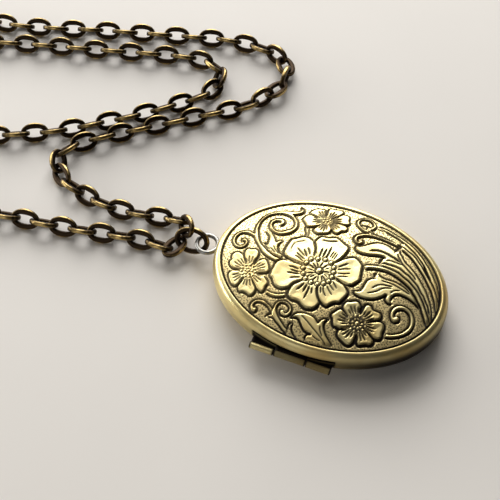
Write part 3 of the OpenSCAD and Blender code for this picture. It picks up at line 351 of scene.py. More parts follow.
# Stamens of the large flower, from the tip to the beads, and the dark spokes inside the beads: half
# width, then the points passed.
MAIN_STAMENS = [
    (.12, [(-2.05, 2.8), (-2.05, 1.25)]), (.13, [(-1.5, 2.9), (-1.6, 1.4)]),
    (.12, [(-1, 3.45), (-1.05, 1.9), (-1.25, 1.4)]), (.08, [(-.45, 2.85), (-.65, 1.75)]),
    (.07, [(-.12, 2.85), (-.38, 1.55)]), (.07, [(.15, 2.65), (-.05, 1.55)]),
    (.1, [(2, 1.65), (1.45, 1.1), (1, .65)]), (.09, [(2.55, .95), (1.8, .65), (1.05, .2)]),
    (.09, [(2.7, .25), (2, -.1), (1.15, -.35)]), (.09, [(2.55, -.35), (1.9, -.6), (1.35, -.85)]),
    (.08, [(1.8, -2.65), (1.05, -1.9)]), (.08, [(1.55, -3.1), (.75, -2.45)]),
    (.08, [(1.5, -3.8), (.9, -3.25), (.45, -2.75)]), (.08, [(.75, -4.25), (.25, -3.65), (.05, -3.1)]),
    (.09, [(0, -4.1), (-.3, -3.2)]), (.12, [(-3.2, -4.65), (-2.85, -4.1), (-2.6, -3.45)]),
    (.12, [(-2.3, -4.65), (-2.15, -3.6)]), (.12, [(-1.85, -5.55), (-1.75, -4.45), (-1.75, -3.65)]),
    (.11, [(-1.15, -4.55), (-1.35, -3.65)]), (.12, [(-5.4, -1.55), (-4.8, -1.5), (-4.1, -1.6)]),
    (.11, [(-5, -2), (-3.85, -2)]), (.12, [(-5.3, -2.55), (-4.55, -2.4), (-3.75, -2.3)]),
    (.11, [(-4.65, -3.25), (-4.1, -2.95), (-3.4, -2.75)]), (.13, [(-4, 2.15), (-3.65, 1.75), (-3.4, 1.2)]),
    (.13, [(-4.4, 1.75), (-3.95, 1.2), (-3.7, .75)]), (.1, [(-5.35, 1.65), (-4.75, 1.25), (-4.05, .75)]),
    (.11, [(-5.15, .9), (-4.55, .55), (-3.85, .2)]), (.1, [(-5.2, .4), (-4.65, .2), (-3.95, -.2)]),
    (.1, [(-1.25, .55), (-1.4, -.2)]), (.1, [(-.55, .4), (-.95, -.25)]), (.1, [(-.15, .05), (-.65, -.4)]),
    (.1, [(.1, -.65), (-.65, -.8)]), (.06, [(.1, -1.5), (-.5, -1.15)]), (.08, [(0, -2.05), (-.65, -1.5)]),
    (.08, [(-.45, -2.2), (-.8, -1.6)]), (.06, [(-1, -2.4), (-1.15, -1.75)]),
    (.1, [(-1.65, -2.6), (-1.35, -1.9)]), (.1, [(-2.15, -2.3), (-1.6, -1.65)]),
    (.1, [(-2.75, -1.8), (-1.95, -1.45)]), (.1, [(-2.9, -1.1), (-2, -1.1)]),
    (.11, [(-2.85, -.4), (-2.1, -.75)]), (.11, [(-2.5, -.05), (-1.85, -.55)]),
    (.08, [(-1.95, .2), (-1.65, -.3)]),
]


def register_all(classes, on):
    """Adds the classes to Blender, or takes them out in the opposite order."""
    for cls in classes if on else reversed(classes):
        (bpy.utils.register_class if on else bpy.utils.unregister_class)(cls)


def smooth(t):
    """Smooth step: 3t² - 2t³ of t held between 0 and 1."""
    t = np.clip(t, 0, 1)
    return t * t * (3 - 2 * t)


def turns(count):
    """Angles all the way round, evenly spaced."""
    return np.linspace(0, 2 * np.pi, count, endpoint=False)


def circle_points(count):
    """Points evenly spaced round a circle of radius 1."""
    return np.stack([np.cos(turns(count)), np.sin(turns(count))], 1)


def spline(points, steps=6):
    """Catmull-Rom line through the points: between two of them a cubic, whose slope at each is half
    the step between that point's neighbours."""
    p = np.asarray(points, float)
    q = np.vstack([2 * p[0] - p[1], p, 2 * p[-1] - p[-2]])
    a, b, c, d = q[:-3], q[1:-2], q[2:-1], q[3:]
    t = (np.arange(steps) / steps)[:, None, None]
    line = (2 * b + (c - a) * t + (2 * a - 5 * b + 4 * c - d) * t**2 + (3 * b - a - 3 * c + d) * t**3) / 2
    return np.vstack([line.transpose(1, 0, 2).reshape(-1, p.shape[1]), p[-1]])


def near(points, line):
    """Distance from each point to a line of short spans, and how far along it the nearest place is:
    each span's foot is the dot product with the span over its squared length, held from 0 to 1."""
    a, step = line[:-1], np.diff(line, axis=0)
    length = np.maximum((step**2).sum(1), 1e-12)
    foot = np.clip(((points[:, None] - a) * step).sum(2) / length, 0, 1)
    gap = ((points[:, None] - a - foot[..., None] * step)**2).sum(2)
    best = gap.argmin(1)
    rows = np.arange(len(points))
    return np.sqrt(gap[rows, best]), (best + foot[rows, best]) / len(step)


def within(points, loop):
    """Whether each point is inside a closed outline: a ray along X crosses it an odd number of times."""
    a, b = loop, np.roll(loop, -1, 0)
    y = points[:, 1:2]
    spans = (a[:, 1] > y) != (b[:, 1] > y)
    rise = np.where(a[:, 1] == b[:, 1], 1, b[:, 1] - a[:, 1])
    crossing = a[:, 0] + (y - a[:, 1]) / rise * (b[:, 0] - a[:, 0])
    return (spans & (points[:, :1] < crossing)).sum(1) % 2 == 1


class Relief:
    """The stamped pattern on a set of points: height over the ground, darkness and what is raised."""

    EDGE = .3  # width of the rounded edge of a form
    DISH_REACH = 1.1  # how far inside its edge a form has sunk by its whole dish
    DEPTH = 1.6  # depth of a groove over its half width
    DEEPEST = .26
    BLUR = .1  # width over which the patina of a groove fades out
    BEAD_RISE = .6  # height of a bead over its radius
    FOOT_DEPTH = .06  # depth of the ring round a bead

    def __init__(self, points, settings):
        self.points = points
        self.height, self.patina, self.raised = np.zeros((3, len(points)))
        self.settings = settings

    def window(self, line, margin):
        """The points inside the line's box, widened by the margin."""
        low, high = line.min(0) - margin, line.max(0) + margin
        return np.flatnonzero(((self.points > low) & (self.points < high)).all(1))

    def raise_form(self, outline, height, dish=0.0, edge=EDGE):
        """Lifts the inside of an outline. Its edge is a quarter circle in section, and further in it
        sinks again by the dish, along a smooth step."""
        s = self.window(outline, 0)
        s = s[within(self.points[s], outline)]
        gap, _ = near(self.points[s], np.vstack([outline, outline[:1]]))
        share = np.clip(gap / edge, 0, 1)
        lift = height * np.sqrt(1 - (1 - share)**2) - dish * smooth((gap - edge) / self.DISH_REACH)
        self.height[s] = np.maximum(self.height[s], lift)
        self.raised[s] = np.maximum(self.raised[s], smooth(gap / (.5 * edge)))

    def cut(self, line, half_width, strength=1.0, taper=2.5):
        """Cuts a groove along a line: a smooth step down from 1.6 times its half width to the middle.
        Its depth follows its width, and it narrows at both ends."""
        length = np.linalg.norm(np.diff(line, axis=0), axis=1).sum()
        s = self.window(line, 3 * half_width)
        gap, along = near(self.points[s], line)
        end = np.minimum(along, 1 - along) * length / (taper * half_width)
        width = half_width * (.45 + .55 * smooth(end))
        depth = min(self.DEPTH * half_width, self.DEEPEST) * self.settings.groove_share
        self.height[s] -= depth * (1 - smooth(gap / (1.6 * width)))
        dark = strength * (1 - smooth((gap - .85 * width) / self.BLUR))
        self.patina[s] = np.maximum(self.patina[s], dark)

    def darken(self, centre, radius, strength):
        """Lays patina in a round patch, which fades out towards its edge."""
        gap = np.hypot(*(self.points - centre).T) / radius
        self.patina = np.maximum(self.patina, strength * (1 - smooth((gap - .6) / .4)))

    def bead(self, x, y, radius, base, strength):
        """Sets a flat-topped ball on the surface, its height falling with the fourth power of the
        distance from its middle, with a dark ring round its foot."""
        s = self.window(np.array([[x, y]]), 1.8 * radius)
        gap = np.hypot(self.points[s, 0] - x, self.points[s, 1] - y) / radius
        on = gap < 1
        ball = base + self.BEAD_RISE * radius * (1 - gap**4)
        ring = 1 - smooth((gap - 1.35) / .3)
        self.height[s] = np.where(on, np.maximum(ball, self.height[s]),
                                  self.height[s] - self.FOOT_DEPTH * ring)
        self.patina[s] = np.where(on, strength * smooth((gap - .85) / .15),
                                  np.maximum(self.patina[s], strength * ring))
        self.raised[s] = 1


def outline_of(parts):
    """Joins strokes, turned round where their name has a leading -, and single points to one outline."""
    pieces = []
    for part in parts:
        if isinstance(part, str):
            line = spline(STROKES[part.lstrip("-")][1])
            pieces.append(line[::-1] if part.startswith("-") else line)
        else:
            pieces.append(np.array([part], float))
    return np.vstack(pieces)


def on_circle(centre, radius, degrees):
    """The point of a circle at an angle."""
    turn = np.radians(degrees)
    return centre[0] + radius * np.cos(turn), centre[1] + radius * np.sin(turn)


def cut_stamens(relief, centre, petals, start, reach, count, half_width):
    """Cuts a fan of stamens into each petal of a small flower, the outer and every second one shorter,
    and a ring of spokes round its middle."""
    for petal in petals:
        out = petal.mean(0) - centre
        middle = np.degrees(np.arctan2(out[1], out[0]))
        for k in range(count):
            side = k - (count - 1) / 2
            turn = middle + side * STAMEN_TURN
            tip = reach - .16 * abs(side) * (1 + k % 2)
            line = [on_circle(centre, start, turn), on_circle(centre, tip, turn)]
            relief.cut(np.array(line), half_width, .95)
    for k in range(SPOKES):
        turn = k * 360 / SPOKES
        line = [on_circle(centre, .6 * start, turn), on_circle(centre, start, turn)]
        relief.cut(np.array(line), .07, .8)


def stamp(points, settings):
    """Works the whole pattern of the front into a relief over the points: forms and flowers first,
    then the grooves, and the beads on top."""
    relief = Relief(points, settings)
    height = settings.height / MM
    for parts in FORMS:
        relief.raise_form(outline_of(parts), height)
    for centre, name, disc_radius, _, _, stamens in FLOWERS:
        petals = [spline(STROKES[f"{name}_{k + 1}"][1]) for k in range(PETALS)]
        for petal in petals:
            relief.raise_form(np.vstack([petal, [centre]]), height, dish=settings.dish / MM)
        relief.raise_form(circle_points(40) * disc_radius + centre, MIDDLE_SHARE * height,
                          edge=MIDDLE_EDGE)
        if stamens:
            cut_stamens(relief, centre, petals, *stamens)
    for half_width, points_passed in [*STROKES.values(), *MAIN_STAMENS]:
        relief.cut(spline(points_passed), half_width)
    for x, y in MAIN_BEADS:
        relief.bead(x, y, MAIN_BEAD_RADIUS, MAIN_BEAD_BASE, 1)
    for centre, _, _, rings, (dark_radius, dark, dark_ring), _ in FLOWERS:
        relief.darken(centre, dark_radius, dark)
        for count, radius, bead_radius, turn in rings:
            for k in range(count):
                x, y = on_circle(centre, radius, turn + 360 * k / count)
                relief.bead(x, y, bead_radius, BEAD_BASE, dark_ring)
    return relief


def add_piece(name, points, faces, body, material, values=None):
    """Makes a mesh object from points in millimetres, sets its per-point values and fixes its body."""
    mesh = bpy.data.meshes.new(name)
    mesh.from_pydata((np.asarray(points) * MM).tolist(), [], [f for group in faces for f in group.tolist()])
    mesh.update()
    mesh.polygons.foreach_set("use_smooth", np.ones(len(mesh.polygons), bool))
    for key, data in (values or {}).items():
        mesh.attributes.new(key, "FLOAT", "POINT").data.foreach_set("value", np.asarray(data, np.float32))
    mesh.materials.append(material)
    piece = bpy.data.objects.new(name, mesh)
    bpy.context.scene.collection.objects.link(piece)
    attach(piece, body)
    return piece


def new_surface(node, material):
    """Gives a CAD node that is shown as it is another material."""
    data = frame["nodes"][node].data
    data.materials.clear()
    data.materials.append(material)


def bands(rings):
    """Quads between each closed ring of points and the next, the rings given as rows of indices."""
    a, b = rings[:-1], rings[1:]
    return np.stack([a, np.roll(a, -1, 1), np.roll(b, -1, 1), b], 2).reshape(-1, 4)


def halving(outer, inner):
    """Triangles from a closed ring of points, given by index, to one of half as many inside it."""
    a, b, c = outer[::2], outer[1::2], np.roll(outer, -2)[::2]
    p, q = inner, np.roll(inner, -1)
    return np.concatenate([np.stack(t, 1) for t in ((a, b, p), (b, q, p), (b, c, q))])


def lattice(rows, columns):
    """Quads of a grid of points that closes on itself both ways."""
    at = np.arange(rows * columns).reshape(rows, columns)
    return bands(np.vstack([at, at[:1]]))[:, [0, 3, 2, 1]]


def gathered(count, pull):
    """Steps from -1 to 1, drawn towards the middle of the large flower by a bell curve times the pull,
    which leaves both ends in place."""
    t = np.linspace(-1, 1, count + 1)
    off = t + .09
    return t - pull * off * (1 - t * t) * np.exp(-(off / .4)**2)


def disc_grid(cells_x, cells_y, pull=0.0):
    """A square grid laid on a disc: x = u √(1 - v²/2) and y = v √(1 - u²/2), u and v from -1 to 1. Also
    its quads and, counter-clockwise, the points on its edge."""
    u, v = np.meshgrid(gathered(cells_x, pull), gathered(cells_y, pull))
    disc = np.stack([u * np.sqrt(1 - v * v / 2), v * np.sqrt(1 - u * u / 2)], 2).reshape(-1, 2)
    at = np.arange((cells_x + 1) * (cells_y + 1)).reshape(cells_y + 1, cells_x + 1)
    quads = np.stack([at[:-1, :-1], at[:-1, 1:], at[1:, 1:], at[1:, :-1]], 2).reshape(-1, 4)
    edge = np.concatenate([at[0, :-1], at[:-1, -1], at[-1, :0:-1], at[:0:-1, 0]])
    return disc, quads, edge


def ring_points(circle, rings):
    """Rings round the case. Each is the outline less an inset, scaled by a share, at a height."""
    inset, share, z = np.asarray(rings, float).T
    x = ((half_x - inset) * share)[:, None] * circle[:, 0]
    y = ((half_y - inset) * share)[:, None] * circle[:, 1]
    return np.stack([x, y, np.broadcast_to(z[:, None], x.shape)], 2).reshape(-1, 3)


def level(pairs):
    """Rings of the full outline, from pairs of inset and height."""
    return [(inset, 1, z) for inset, z in pairs]


def quarter(inset_from, inset_to, z_from, z_to, steps):
    """A quarter of an ellipse in section, level at its start and upright at its end."""
    a = np.linspace(0, np.pi / 2, steps)
    return level(zip(inset_from + (inset_to - inset_from) * np.sin(a), z_to + (z_from - z_to) * np.cos(a)))


def tube(path, radius_a, radius_b, side_a, side_b, around, square=1.0):
    """A closed tube along a closed path: at each point an ellipse in the two side directions, whose
    cosine and sine are raised to the power square, which flattens its sides where it is below 1."""
    turn = turns(around) + np.pi / around
    across = np.sign(np.cos(turn)) * np.abs(np.cos(turn))**square * radius_a
    along = np.sign(np.sin(turn)) * np.abs(np.sin(turn))**square * radius_b
    section = across[None, :, None] * side_a[:, None] + along[None, :, None] * side_b[:, None]
    return (path[:, None] + section).reshape(-1, 3), lattice(len(path), around)


def oval_wire(length, width, wire, thickness, around, steps, power=2.0, square=1.0, swell=0.0):
    """Wire bent to an oval in the XY plane, (x/a)^p + (y/b)^p = 1 with p the power, 2 for an ellipse, and
    an ellipse in section or squarer, wider by the swell in the middle of the long sides. Also how worn
    each point is: most on the outside of the oval's long sides and less on the edges of the section."""
    a, b = (length - wire) / 2, (width - (1 + swell) * wire) / 2
    turn = turns(steps)
    reach = (np.abs(np.cos(turn) / a)**power + np.abs(np.sin(turn) / b)**power)**(-1 / power)
    path = np.stack([reach * np.cos(turn), reach * np.sin(turn), 0 * turn], 1)
    step = np.roll(path, -1, 0) - np.roll(path, 1, 0)
    side = np.stack([step[:, 1], -step[:, 0], 0 * turn], 1) / np.linalg.norm(step, axis=1)[:, None]
    side *= 1 + swell * np.sin(turn)[:, None]**2
    up = np.tile([0.0, 0.0, 1.0], (steps, 1))
    points, quads = tube(path, wire / 2, thickness / 2, side, up, around, square)
    section = turns(around) + np.pi / around
    outside = smooth((np.cos(section) - .1) / .7) * (.45 + .55 * np.sin(turn)[:, None]**2)
    edges = .75 * np.abs(np.sin(2 * section)) * (.6 + .4 * np.cos(section))
    return points, quads, np.maximum(outside, edges).ravel()


def solid_of(triangles, count):
    """Which loose solid each triangle belongs to, as numbers from 0. Points that share triangles share
    a label, which falls to the lowest among its neighbours until nothing changes."""
    label = np.arange(count)
    while True:
        lower = label.copy()
        for k in range(3):
            np.minimum.at(lower, triangles[:, k], label[triangles].min(1))
        lower = lower[lower]
        if (lower == label).all():
            return np.unique(label[triangles[:, 0]], return_inverse=True)[1]
        label = lower


def loose_solids(node):
    """Centre and axes, longest first, of each loose solid of a CAD node: its triangles' mean and the
    main directions of their spread, weighted by area."""
    mesh = frame["nodes"][node].data
    points = np.empty(len(mesh.vertices) * 3)
    mesh.vertices.foreach_get("co", points)
    points = points.reshape(-1, 3) / MM
    mesh.calc_loop_triangles()
    corners = np.empty(len(mesh.loop_triangles) * 3, np.int64)
    mesh.loop_triangles.foreach_get("vertices", corners)
    merged = np.unique(np.round(points, 4), axis=0, return_inverse=True)[1].reshape(-1)
    solid = solid_of(merged[corners].reshape(-1, 3), merged.max() + 1)
    triangles = points[corners].reshape(-1, 3, 3)
    area = np.linalg.norm(np.cross(triangles[:, 1] - triangles[:, 0], triangles[:, 2] - triangles[:, 0]),
                          axis=1)
    middle = triangles.mean(1)
    total = np.bincount(solid, area)
    centre = np.stack([np.bincount(solid, area * middle[:, k]) / total for k in range(3)], 1)
    off = middle - centre[solid]
    spread = np.stack([np.bincount(solid, area * off[:, i] * off[:, j]) / total
                       for i in range(3) for j in range(3)], 1).reshape(-1, 3, 3)
    axes = np.linalg.eigh(spread)[1][:, :, ::-1].transpose(0, 2, 1).copy()
    axes[:, 2] *= np.sign(np.linalg.det(axes))[:, None]
    return centre, axes


class Nodes:
    """Fills an empty node tree. Its methods add a node each and return what it gives."""

    def __init__(self, owner, coordinates):
        owner.use_nodes = True
        self.tree = owner.node_tree
        self.tree.nodes.clear()
        self.place = self.add("ShaderNodeTexCoord").outputs[coordinates]

    def add(self, kind, inputs=None, **settings):
        """A node. Each of its inputs is linked to a socket or set to a value."""
        made = self.tree.nodes.new(kind)
        for key, value in settings.items():
            setattr(made, key, value)
        for key, value in (inputs or {}).items():
            if isinstance(value, bpy.types.NodeSocket):
                self.tree.links.new(value, made.inputs[key])
            else:
                made.inputs[key].default_value = value
        return made

    def mix(self, kind, factor, a, b):
        """From a to b by the factor, as floats or colours."""
        first, result = {"FLOAT": (2, 0), "RGBA": (6, 2)}[kind]
        made = self.add("ShaderNodeMix", {0: factor, first: a, first + 1: b}, data_type=kind)
        return made.outputs[result]

    def ramp(self, value, low, high):
        """A value mapped smoothly to 0 at low and 1 at high."""
        return self.add("ShaderNodeMapRange", {"Value": value, "From Min": low, "From Max": high},
                        interpolation_type="SMOOTHSTEP").outputs["Result"]

    def maths(self, operation, a, b):
        """An operation on two values."""
        return self.add("ShaderNodeMath", {0: a, 1: b}, operation=operation).outputs[0]

    def noise(self, size, detail=3.0):
        """Noise whose features have the given size in millimetres."""
        return self.add("ShaderNodeTexNoise", {"Vector": self.place, "Scale": 1 / (size * MM),
                                               "Detail": detail}).outputs["Fac"]

    def value(self, name):
        """A per-point value of the mesh."""
        return self.add("ShaderNodeAttribute", attribute_name=name).outputs["Fac"]

    def bump(self, height, strength, distance):
        """A bumped normal, the distance in millimetres."""
        return self.add("ShaderNodeBump", {"Height": height, "Strength": strength,
                                           "Distance": distance * MM}).outputs["Normal"]

    def surface(self, **inputs):
        """Adds the principled shader and the output. An underscore stands for a space in an input's
    name."""
        shader = self.add("ShaderNodeBsdfPrincipled", {key.replace("_", " "): value
                                                       for key, value in inputs.items()})
        self.add("ShaderNodeOutputMaterial", {"Surface": shader.outputs["BSDF"]})


def antique_brass(name, settings):
    """Polished brass over dark patina. The patina value of the mesh darkens the grooves with oxide
    and lays painted shade in the hinge recess, down the rim and on the side away from the light; the
    ground value stipples the ground."""
    material = bpy.data.materials.new(name)
    n = Nodes(material, "Object")
    cloud = n.ramp(n.noise(4.5), .35, .7)
    speck = n.maths("MULTIPLY", n.ramp(n.noise(.35, 4), .62, .8), .25)
    ground = n.value("ground")
    cells = n.add("ShaderNodeTexVoronoi", {"Vector": n.place, "Scale": 1 / settings.stipple_size,
                                           "Randomness": .9}, voronoi_dimensions="2D")
    stipple = n.maths("MULTIPLY", n.ramp(cells.outputs["Distance"], .38, .26), ground)
    # The patina value is oxide in the grooves and painted shade, mixed to the patina colour.
    dark = n.maths("MAXIMUM", n.maths("MAXIMUM", speck, n.value("patina")),
                   n.maths("MULTIPLY", stipple, .9))
    gold = n.mix("RGBA", cloud, (*settings.gold, 1), (*settings.deep_gold, 1))
    gold = n.mix("RGBA", ground, gold, (*settings.ground, 1))
    height = n.maths("SUBTRACT", n.maths("MULTIPLY", n.noise(.18), .12), n.maths("MULTIPLY", stipple, .5))
    satin = n.mix("FLOAT", cloud, settings.roughness, settings.roughness + .08)
    n.surface(Base_Color=n.mix("RGBA", dark, gold, (*settings.patina, 1)),
              Metallic=n.mix("FLOAT", dark, 1.0, 0.0), Roughness=n.mix("FLOAT", dark, satin, .6),
              Specular_IOR_Level=.15, Normal=n.bump(height, strength=.5, distance=.06))
    return material


def dark_bronze(name, settings, worn):
    """Nearly black bronze, with small bright rubs. Where worn, the wear value of the mesh rubs it
    through to brass instead."""
    material = bpy.data.materials.new(name)
    n = Nodes(material, "Object")
    grain = n.noise(.5, 4)
    if worn:
        rub = n.ramp(n.maths("ADD", n.value("wear"), n.maths("MULTIPLY", grain, .8)), .85, 1.5)
    else:
        rub = n.ramp(grain, .6, .85)
    n.surface(Base_Color=n.mix("RGBA", rub, (*settings.bronze, 1), (*settings.worn_bronze, 1)),
              Metallic=1.0, Roughness=n.mix("FLOAT", rub, .42, .28),
              Normal=n.bump(n.noise(.22), strength=.4, distance=.04))
    return material


def pale_metal(name, settings):
    """Bright worn metal with dull specks."""
    material = bpy.data.materials.new(name)
    n = Nodes(material, "Object")
    speck = n.ramp(n.noise(.4, 4), .55, .75)
    n.surface(Base_Color=n.mix("RGBA", speck, (*settings.pale, 1), (*settings.ground, 1)),
              Metallic=1.0, Roughness=n.mix("FLOAT", speck, .35, .5))
    return material


def plain(name, colour, roughness):
    """One plain matt colour, with a faint unevenness."""
    material = bpy.data.materials.new(name)
    n = Nodes(material, "Object")
    n.surface(Base_Color=n.mix("RGBA", n.noise(30), (*colour, 1), (*[.94 * c for c in colour], 1)),
              Roughness=roughness)
    return material


def colour_property(name, text, default):
    """A colour that the user may change."""
    return FloatVectorProperty(name=name, description=text, subtype="COLOR", size=3, min=0, max=1,
                               default=default)


def length_property(name, text, millimetres):
    """A length that the user may change, kept in metres."""
    return FloatProperty(name=name, description=text, unit="LENGTH", default=millimetres * MM, min=0,
                         precision=5)


def power_property(name, text, default):
    """The power of a light."""
    return FloatProperty(name=name, description=text, subtype="POWER", default=default, min=0)


class LocketFinish(bpy.types.PropertyGroup):
    gold: colour_property("Gold", "Polished brass of the raised parts", (.9, .76, .37))
    deep_gold: colour_property("Deep gold", "Brass where it is less rubbed", (.78, .58, .23))
    ground: colour_property("Ground", "Brass of the stippled ground", (.7, .55, .26))
    # Colour of the oxide in the grooves, also of the painted shade in the hinge recess, down the rim and on
    # the side away from the light.
    patina: colour_property("Patina", "Dark oxide in the grooves", (.01, .006, .003))
    bronze: colour_property("Bronze", "Dark bronze of the chain", (.035, .022, .012))
    worn_bronze: colour_property("Worn bronze", "Bronze rubbed bright on the links", (.58, .41, .16))
    pale: colour_property("Pale metal", "Bright metal of the soldered loop", (.38, .37, .34))
    roughness: FloatProperty(name="Roughness", description="Roughness of the polished brass",
                             subtype="FACTOR", default=.3, min=0, max=1)
    stipple_size: length_property("Stipple", "Distance between the punched dots of the ground", .32)


class LocketCase(bpy.types.PropertyGroup):
    wall: length_property("Wall", "Thickness of the sheet metal", .5)
    rim_width: length_property("Rim", "Width of the plain rim round the front", 1.25)
    height: length_property("Relief", "Height of the raised flowers and scrolls", .24)
    dish: length_property("Dish", "How far the petals sink inside their edge", .07)
    groove_share: FloatProperty(name="Groove depth", description="Depth of the grooves, as a share",
                                subtype="FACTOR", default=1, min=0, max=1.5)
    cells: IntProperty(name="Cells", description="Cells of the front along the oval", default=320,
                       min=64, max=320)
    knuckle: length_property("Knuckle", "Diameter of the hinge knuckles", .9)
    loop_wire: length_property("Loop wire", "Thickness of the soldered loop's wire", .66)
    loop_d: length_property("Loop", "Diameter of the soldered loop, to the middle of its wire", 3)


class LocketChain(bpy.types.PropertyGroup):
    link_length: length_property("Link length", "Length of a link", 4.36)
    link_width: length_property("Link width", "Width of a link", 3.1)
    wire: length_property("Wire width", "Width of a link's wire in the plane of the link", .7)
    thickness: length_property("Wire thickness", "Thickness of a link's wire", .7)
    swell: FloatProperty(name="Swell", description="How much wider the wire is in a link's long sides",
                         subtype="FACTOR", default=.28, min=0, max=.4)
    ring_length: length_property("Jump ring length", "Length of the oval jump ring", 5.3)
    ring_width: length_property("Jump ring width", "Width of the oval jump ring", 4)
    ring_wire: length_property("Jump ring wire", "Thickness of the jump ring's wire", .8)


class LocketStage(bpy.types.PropertyGroup):
    floor: colour_property("Floor", "Colour of the floor", (.85, .8, .73))
    floor_size: FloatProperty(name="Floor size", description="Side of the square floor", unit="LENGTH",
                              default=1.6, min=.3)
    key: power_property("Key light", "Power of the large light at the back left", 3.2)
    side: power_property("Side light", "Power of the low light at the left", 1.2)
    front: power_property("Front light", "Power of the faint light on the hinge side", .26)
    sky: FloatProperty(name="Sky", description="Strength of the even light at the back left",
                       default=.95, min=0)
    dark_side: FloatProperty(name="Dark side", description="Strength of the even light opposite that",
                             default=.012, min=0)
    lens: FloatProperty(name="Lens", description="Focal length in millimetres", default=74.4, min=20)


# Heights of the edge of the stamped front, of the rim's top and the foot of its round shoulder, of the
# edge of the dome inside the lid, and of the lid and the back half at the seam.
PLATE_EDGE = 4.6
RIM_TOP = 4.7
RIM_FOOT = 3.0
INSIDE_EDGE = 4.15
SEAM_TOP = 2.53
SEAM_BACK = 2.47

FRONT_RISE = 1.3  # how much higher the middle of the front is than its edge
GROOVE_SIDE = .15  # how far the front keeps inside the rim
GROOVE_FLOOR = -.2  # the lowest a groove goes under the front's own surface
EDGE_FADE = .04  # share of the front's radius over which the relief runs out at its edge
FLOWER_PULL = .5  # how much the front's points gather at the large flower
INSIDE_REACH = 1.4  # how far inside the wall the inside's edge is
INSIDE_SHARE = .84  # size of the inside's grid over that of the outline

BACK_SIDES = 384  # points round each ring of the back half
# The back rises as the first times the square of the share of the outline, less the second, and is
# flat where that is below 0.
BACK_RISE, BACK_FLAT = .95, .12
LIP_GAP, LIP_THICKNESS = .12, .3  # between the snap lip and the lid's wall, and of the lip
LIP_TOP = 3.0
LOOP_HEIGHT = 2.1  # of the middle of the soldered loop

# The wall above the hinge is cut back between these places along it, by this depth, up to this height.
RECESS = (-7.0, 5.0)
RECESS_DEPTH = .32
RECESS_TOP = 3.4

PIN_HOLE = .25  # radius
KNUCKLE_HALF, KNUCKLE_GAP = 2.2, .1  # half length of the middle knuckle, and the gap beside it
KNUCKLE_ROUND = .07  # radius of the rounded ends
KNUCKLE_AROUND = 48  # points round a knuckle
TAB_CELLS = 11  # cells along the plate of a knuckle
TAB_REACH = .45  # how far the plates reach into the wall
CASE_TAB, LID_TAB = (2.15, 2.45), (2.55, 2.85)  # heights of the plates' under and upper sides

# Points round the wire and along it.
LINK_AROUND, LINK_STEPS = 16, 48
RING_AROUND, RING_STEPS = 32, 96
LINK_POWER, LINK_SQUARE = 2.15, .7  # how square a link is in plan, and its wire in section

# Soft lights: name, place and size in metres, and colour. They aim at one place.
LIGHTS = [
    ("key", (-.2, .42, .26), (.42, .42), (.97, .98, 1)),
    ("side", (-.42, .02, .07), (.5, .1), (1, 1, 1)),
    ("front", (-.12, -.4, .24), (.3, .3), (1, 1, 1)),
]
LIGHTS_AIM = (-.01, 0, 0)
SKY_TOWARDS = (-.55, .6, .58)
SKY_FROM, SKY_TO = .5, .97  # where the sky starts and is full, as the dot product with that direction
FLOOR_DROP = .00002  # metres between the part and the floor
CAMERA_TURN, CAMERA_TILT = 21.5, 56.4  # degrees round from the hinge side, and over the floor
CAMERA_DISTANCE = 150
CAMERA_AIM = (-12.82, 2.57, 0)


def hinge_recess(points):
    """Cuts the wall back above the hinge: points between the recess's ends that stand further out than
    an oval inset by its depth are drawn in to it, less so at its ends. Also the painted shade laid in
    the recess, by how far each point is drawn in."""
    x, y, z = points.T
    share = smooth((x - RECESS[0]) / .15) * smooth((RECESS[1] - x) / .15) * (z < RECESS_TOP)
    limit = -(half_y - RECESS_DEPTH) * np.sqrt(np.clip(1 - (x / (half_x - RECESS_DEPTH))**2, 0, 1))
    excess = np.where(y < 0, np.clip(limit - y, 0, None), 0) * share
    moved = points.copy()
    moved[:, 1] += excess
    return moved, smooth(excess / .08)


def away_from_light(points):
    """How far a point lies to the hinge side and the far end, from 0 round the hanging loop to 1: the
    side away from the light, where painted shade is laid thicker.
    """
    return smooth((points[:, 0] - .8 * points[:, 1] + 8) / 16)


def rim_patina_and_shade(points):
    """Patina and painted shade on the plain metal: a thin film of oxide on top, and a darkening that
    thickens down the side, oxide and painted shade where the side turns under towards the floor. It is
    stronger on the hinge side and the far end than round the hanging loop, and most at the corner
    between them: painted shade on the side away from the light."""
    side = away_from_light(points)
    # corner: painted shade where the hinge side meets the far end, furthest from the light
    corner = smooth((points[:, 0] - points[:, 1] - 14) / 7)
    film = .03 + .1 * side + .15 * corner
    return film + (.06 + .3 * side + .35 * corner) * smooth((RIM_TOP - points[:, 2]) / 1.9)


def stamped_front(case, cells_x, cells_y):
    """The front of the lid: a dome whose height falls with the square of the distance from its middle,
    with the relief on it. Gives its points, quads and edge, the edge as a circle, and the values."""
    inset = case.rim_width / MM + GROOVE_SIDE
    disc, quads, edge = disc_grid(cells_x, cells_y, FLOWER_PULL)
    plate = disc * [half_x - inset, half_y - inset]
    relief = stamp(plate, case)
    radius = np.hypot(*disc.T)
    height = np.maximum(relief.height, GROOVE_FLOOR) * smooth((1 - radius) / EDGE_FADE)
    points = np.column_stack([plate, PLATE_EDGE + FRONT_RISE * (1 - radius**2) + height])
    # Painted shade: a dark line round the front's edge where the rim shades it, and the grooves and the
    # stippled ground darker on the side away from the light.
    side = away_from_light(points)
    edge_shadow = (.5 + .5 * side) * (1 - smooth((1 - radius) / (.006 + .003 * side)))
    values = {"patina": np.maximum(relief.patina * (.8 + .2 * side), edge_shadow),
              "ground": (1 - relief.raised) * (.74 + .1 * side)}
    return points, quads, edge, disc[edge], values


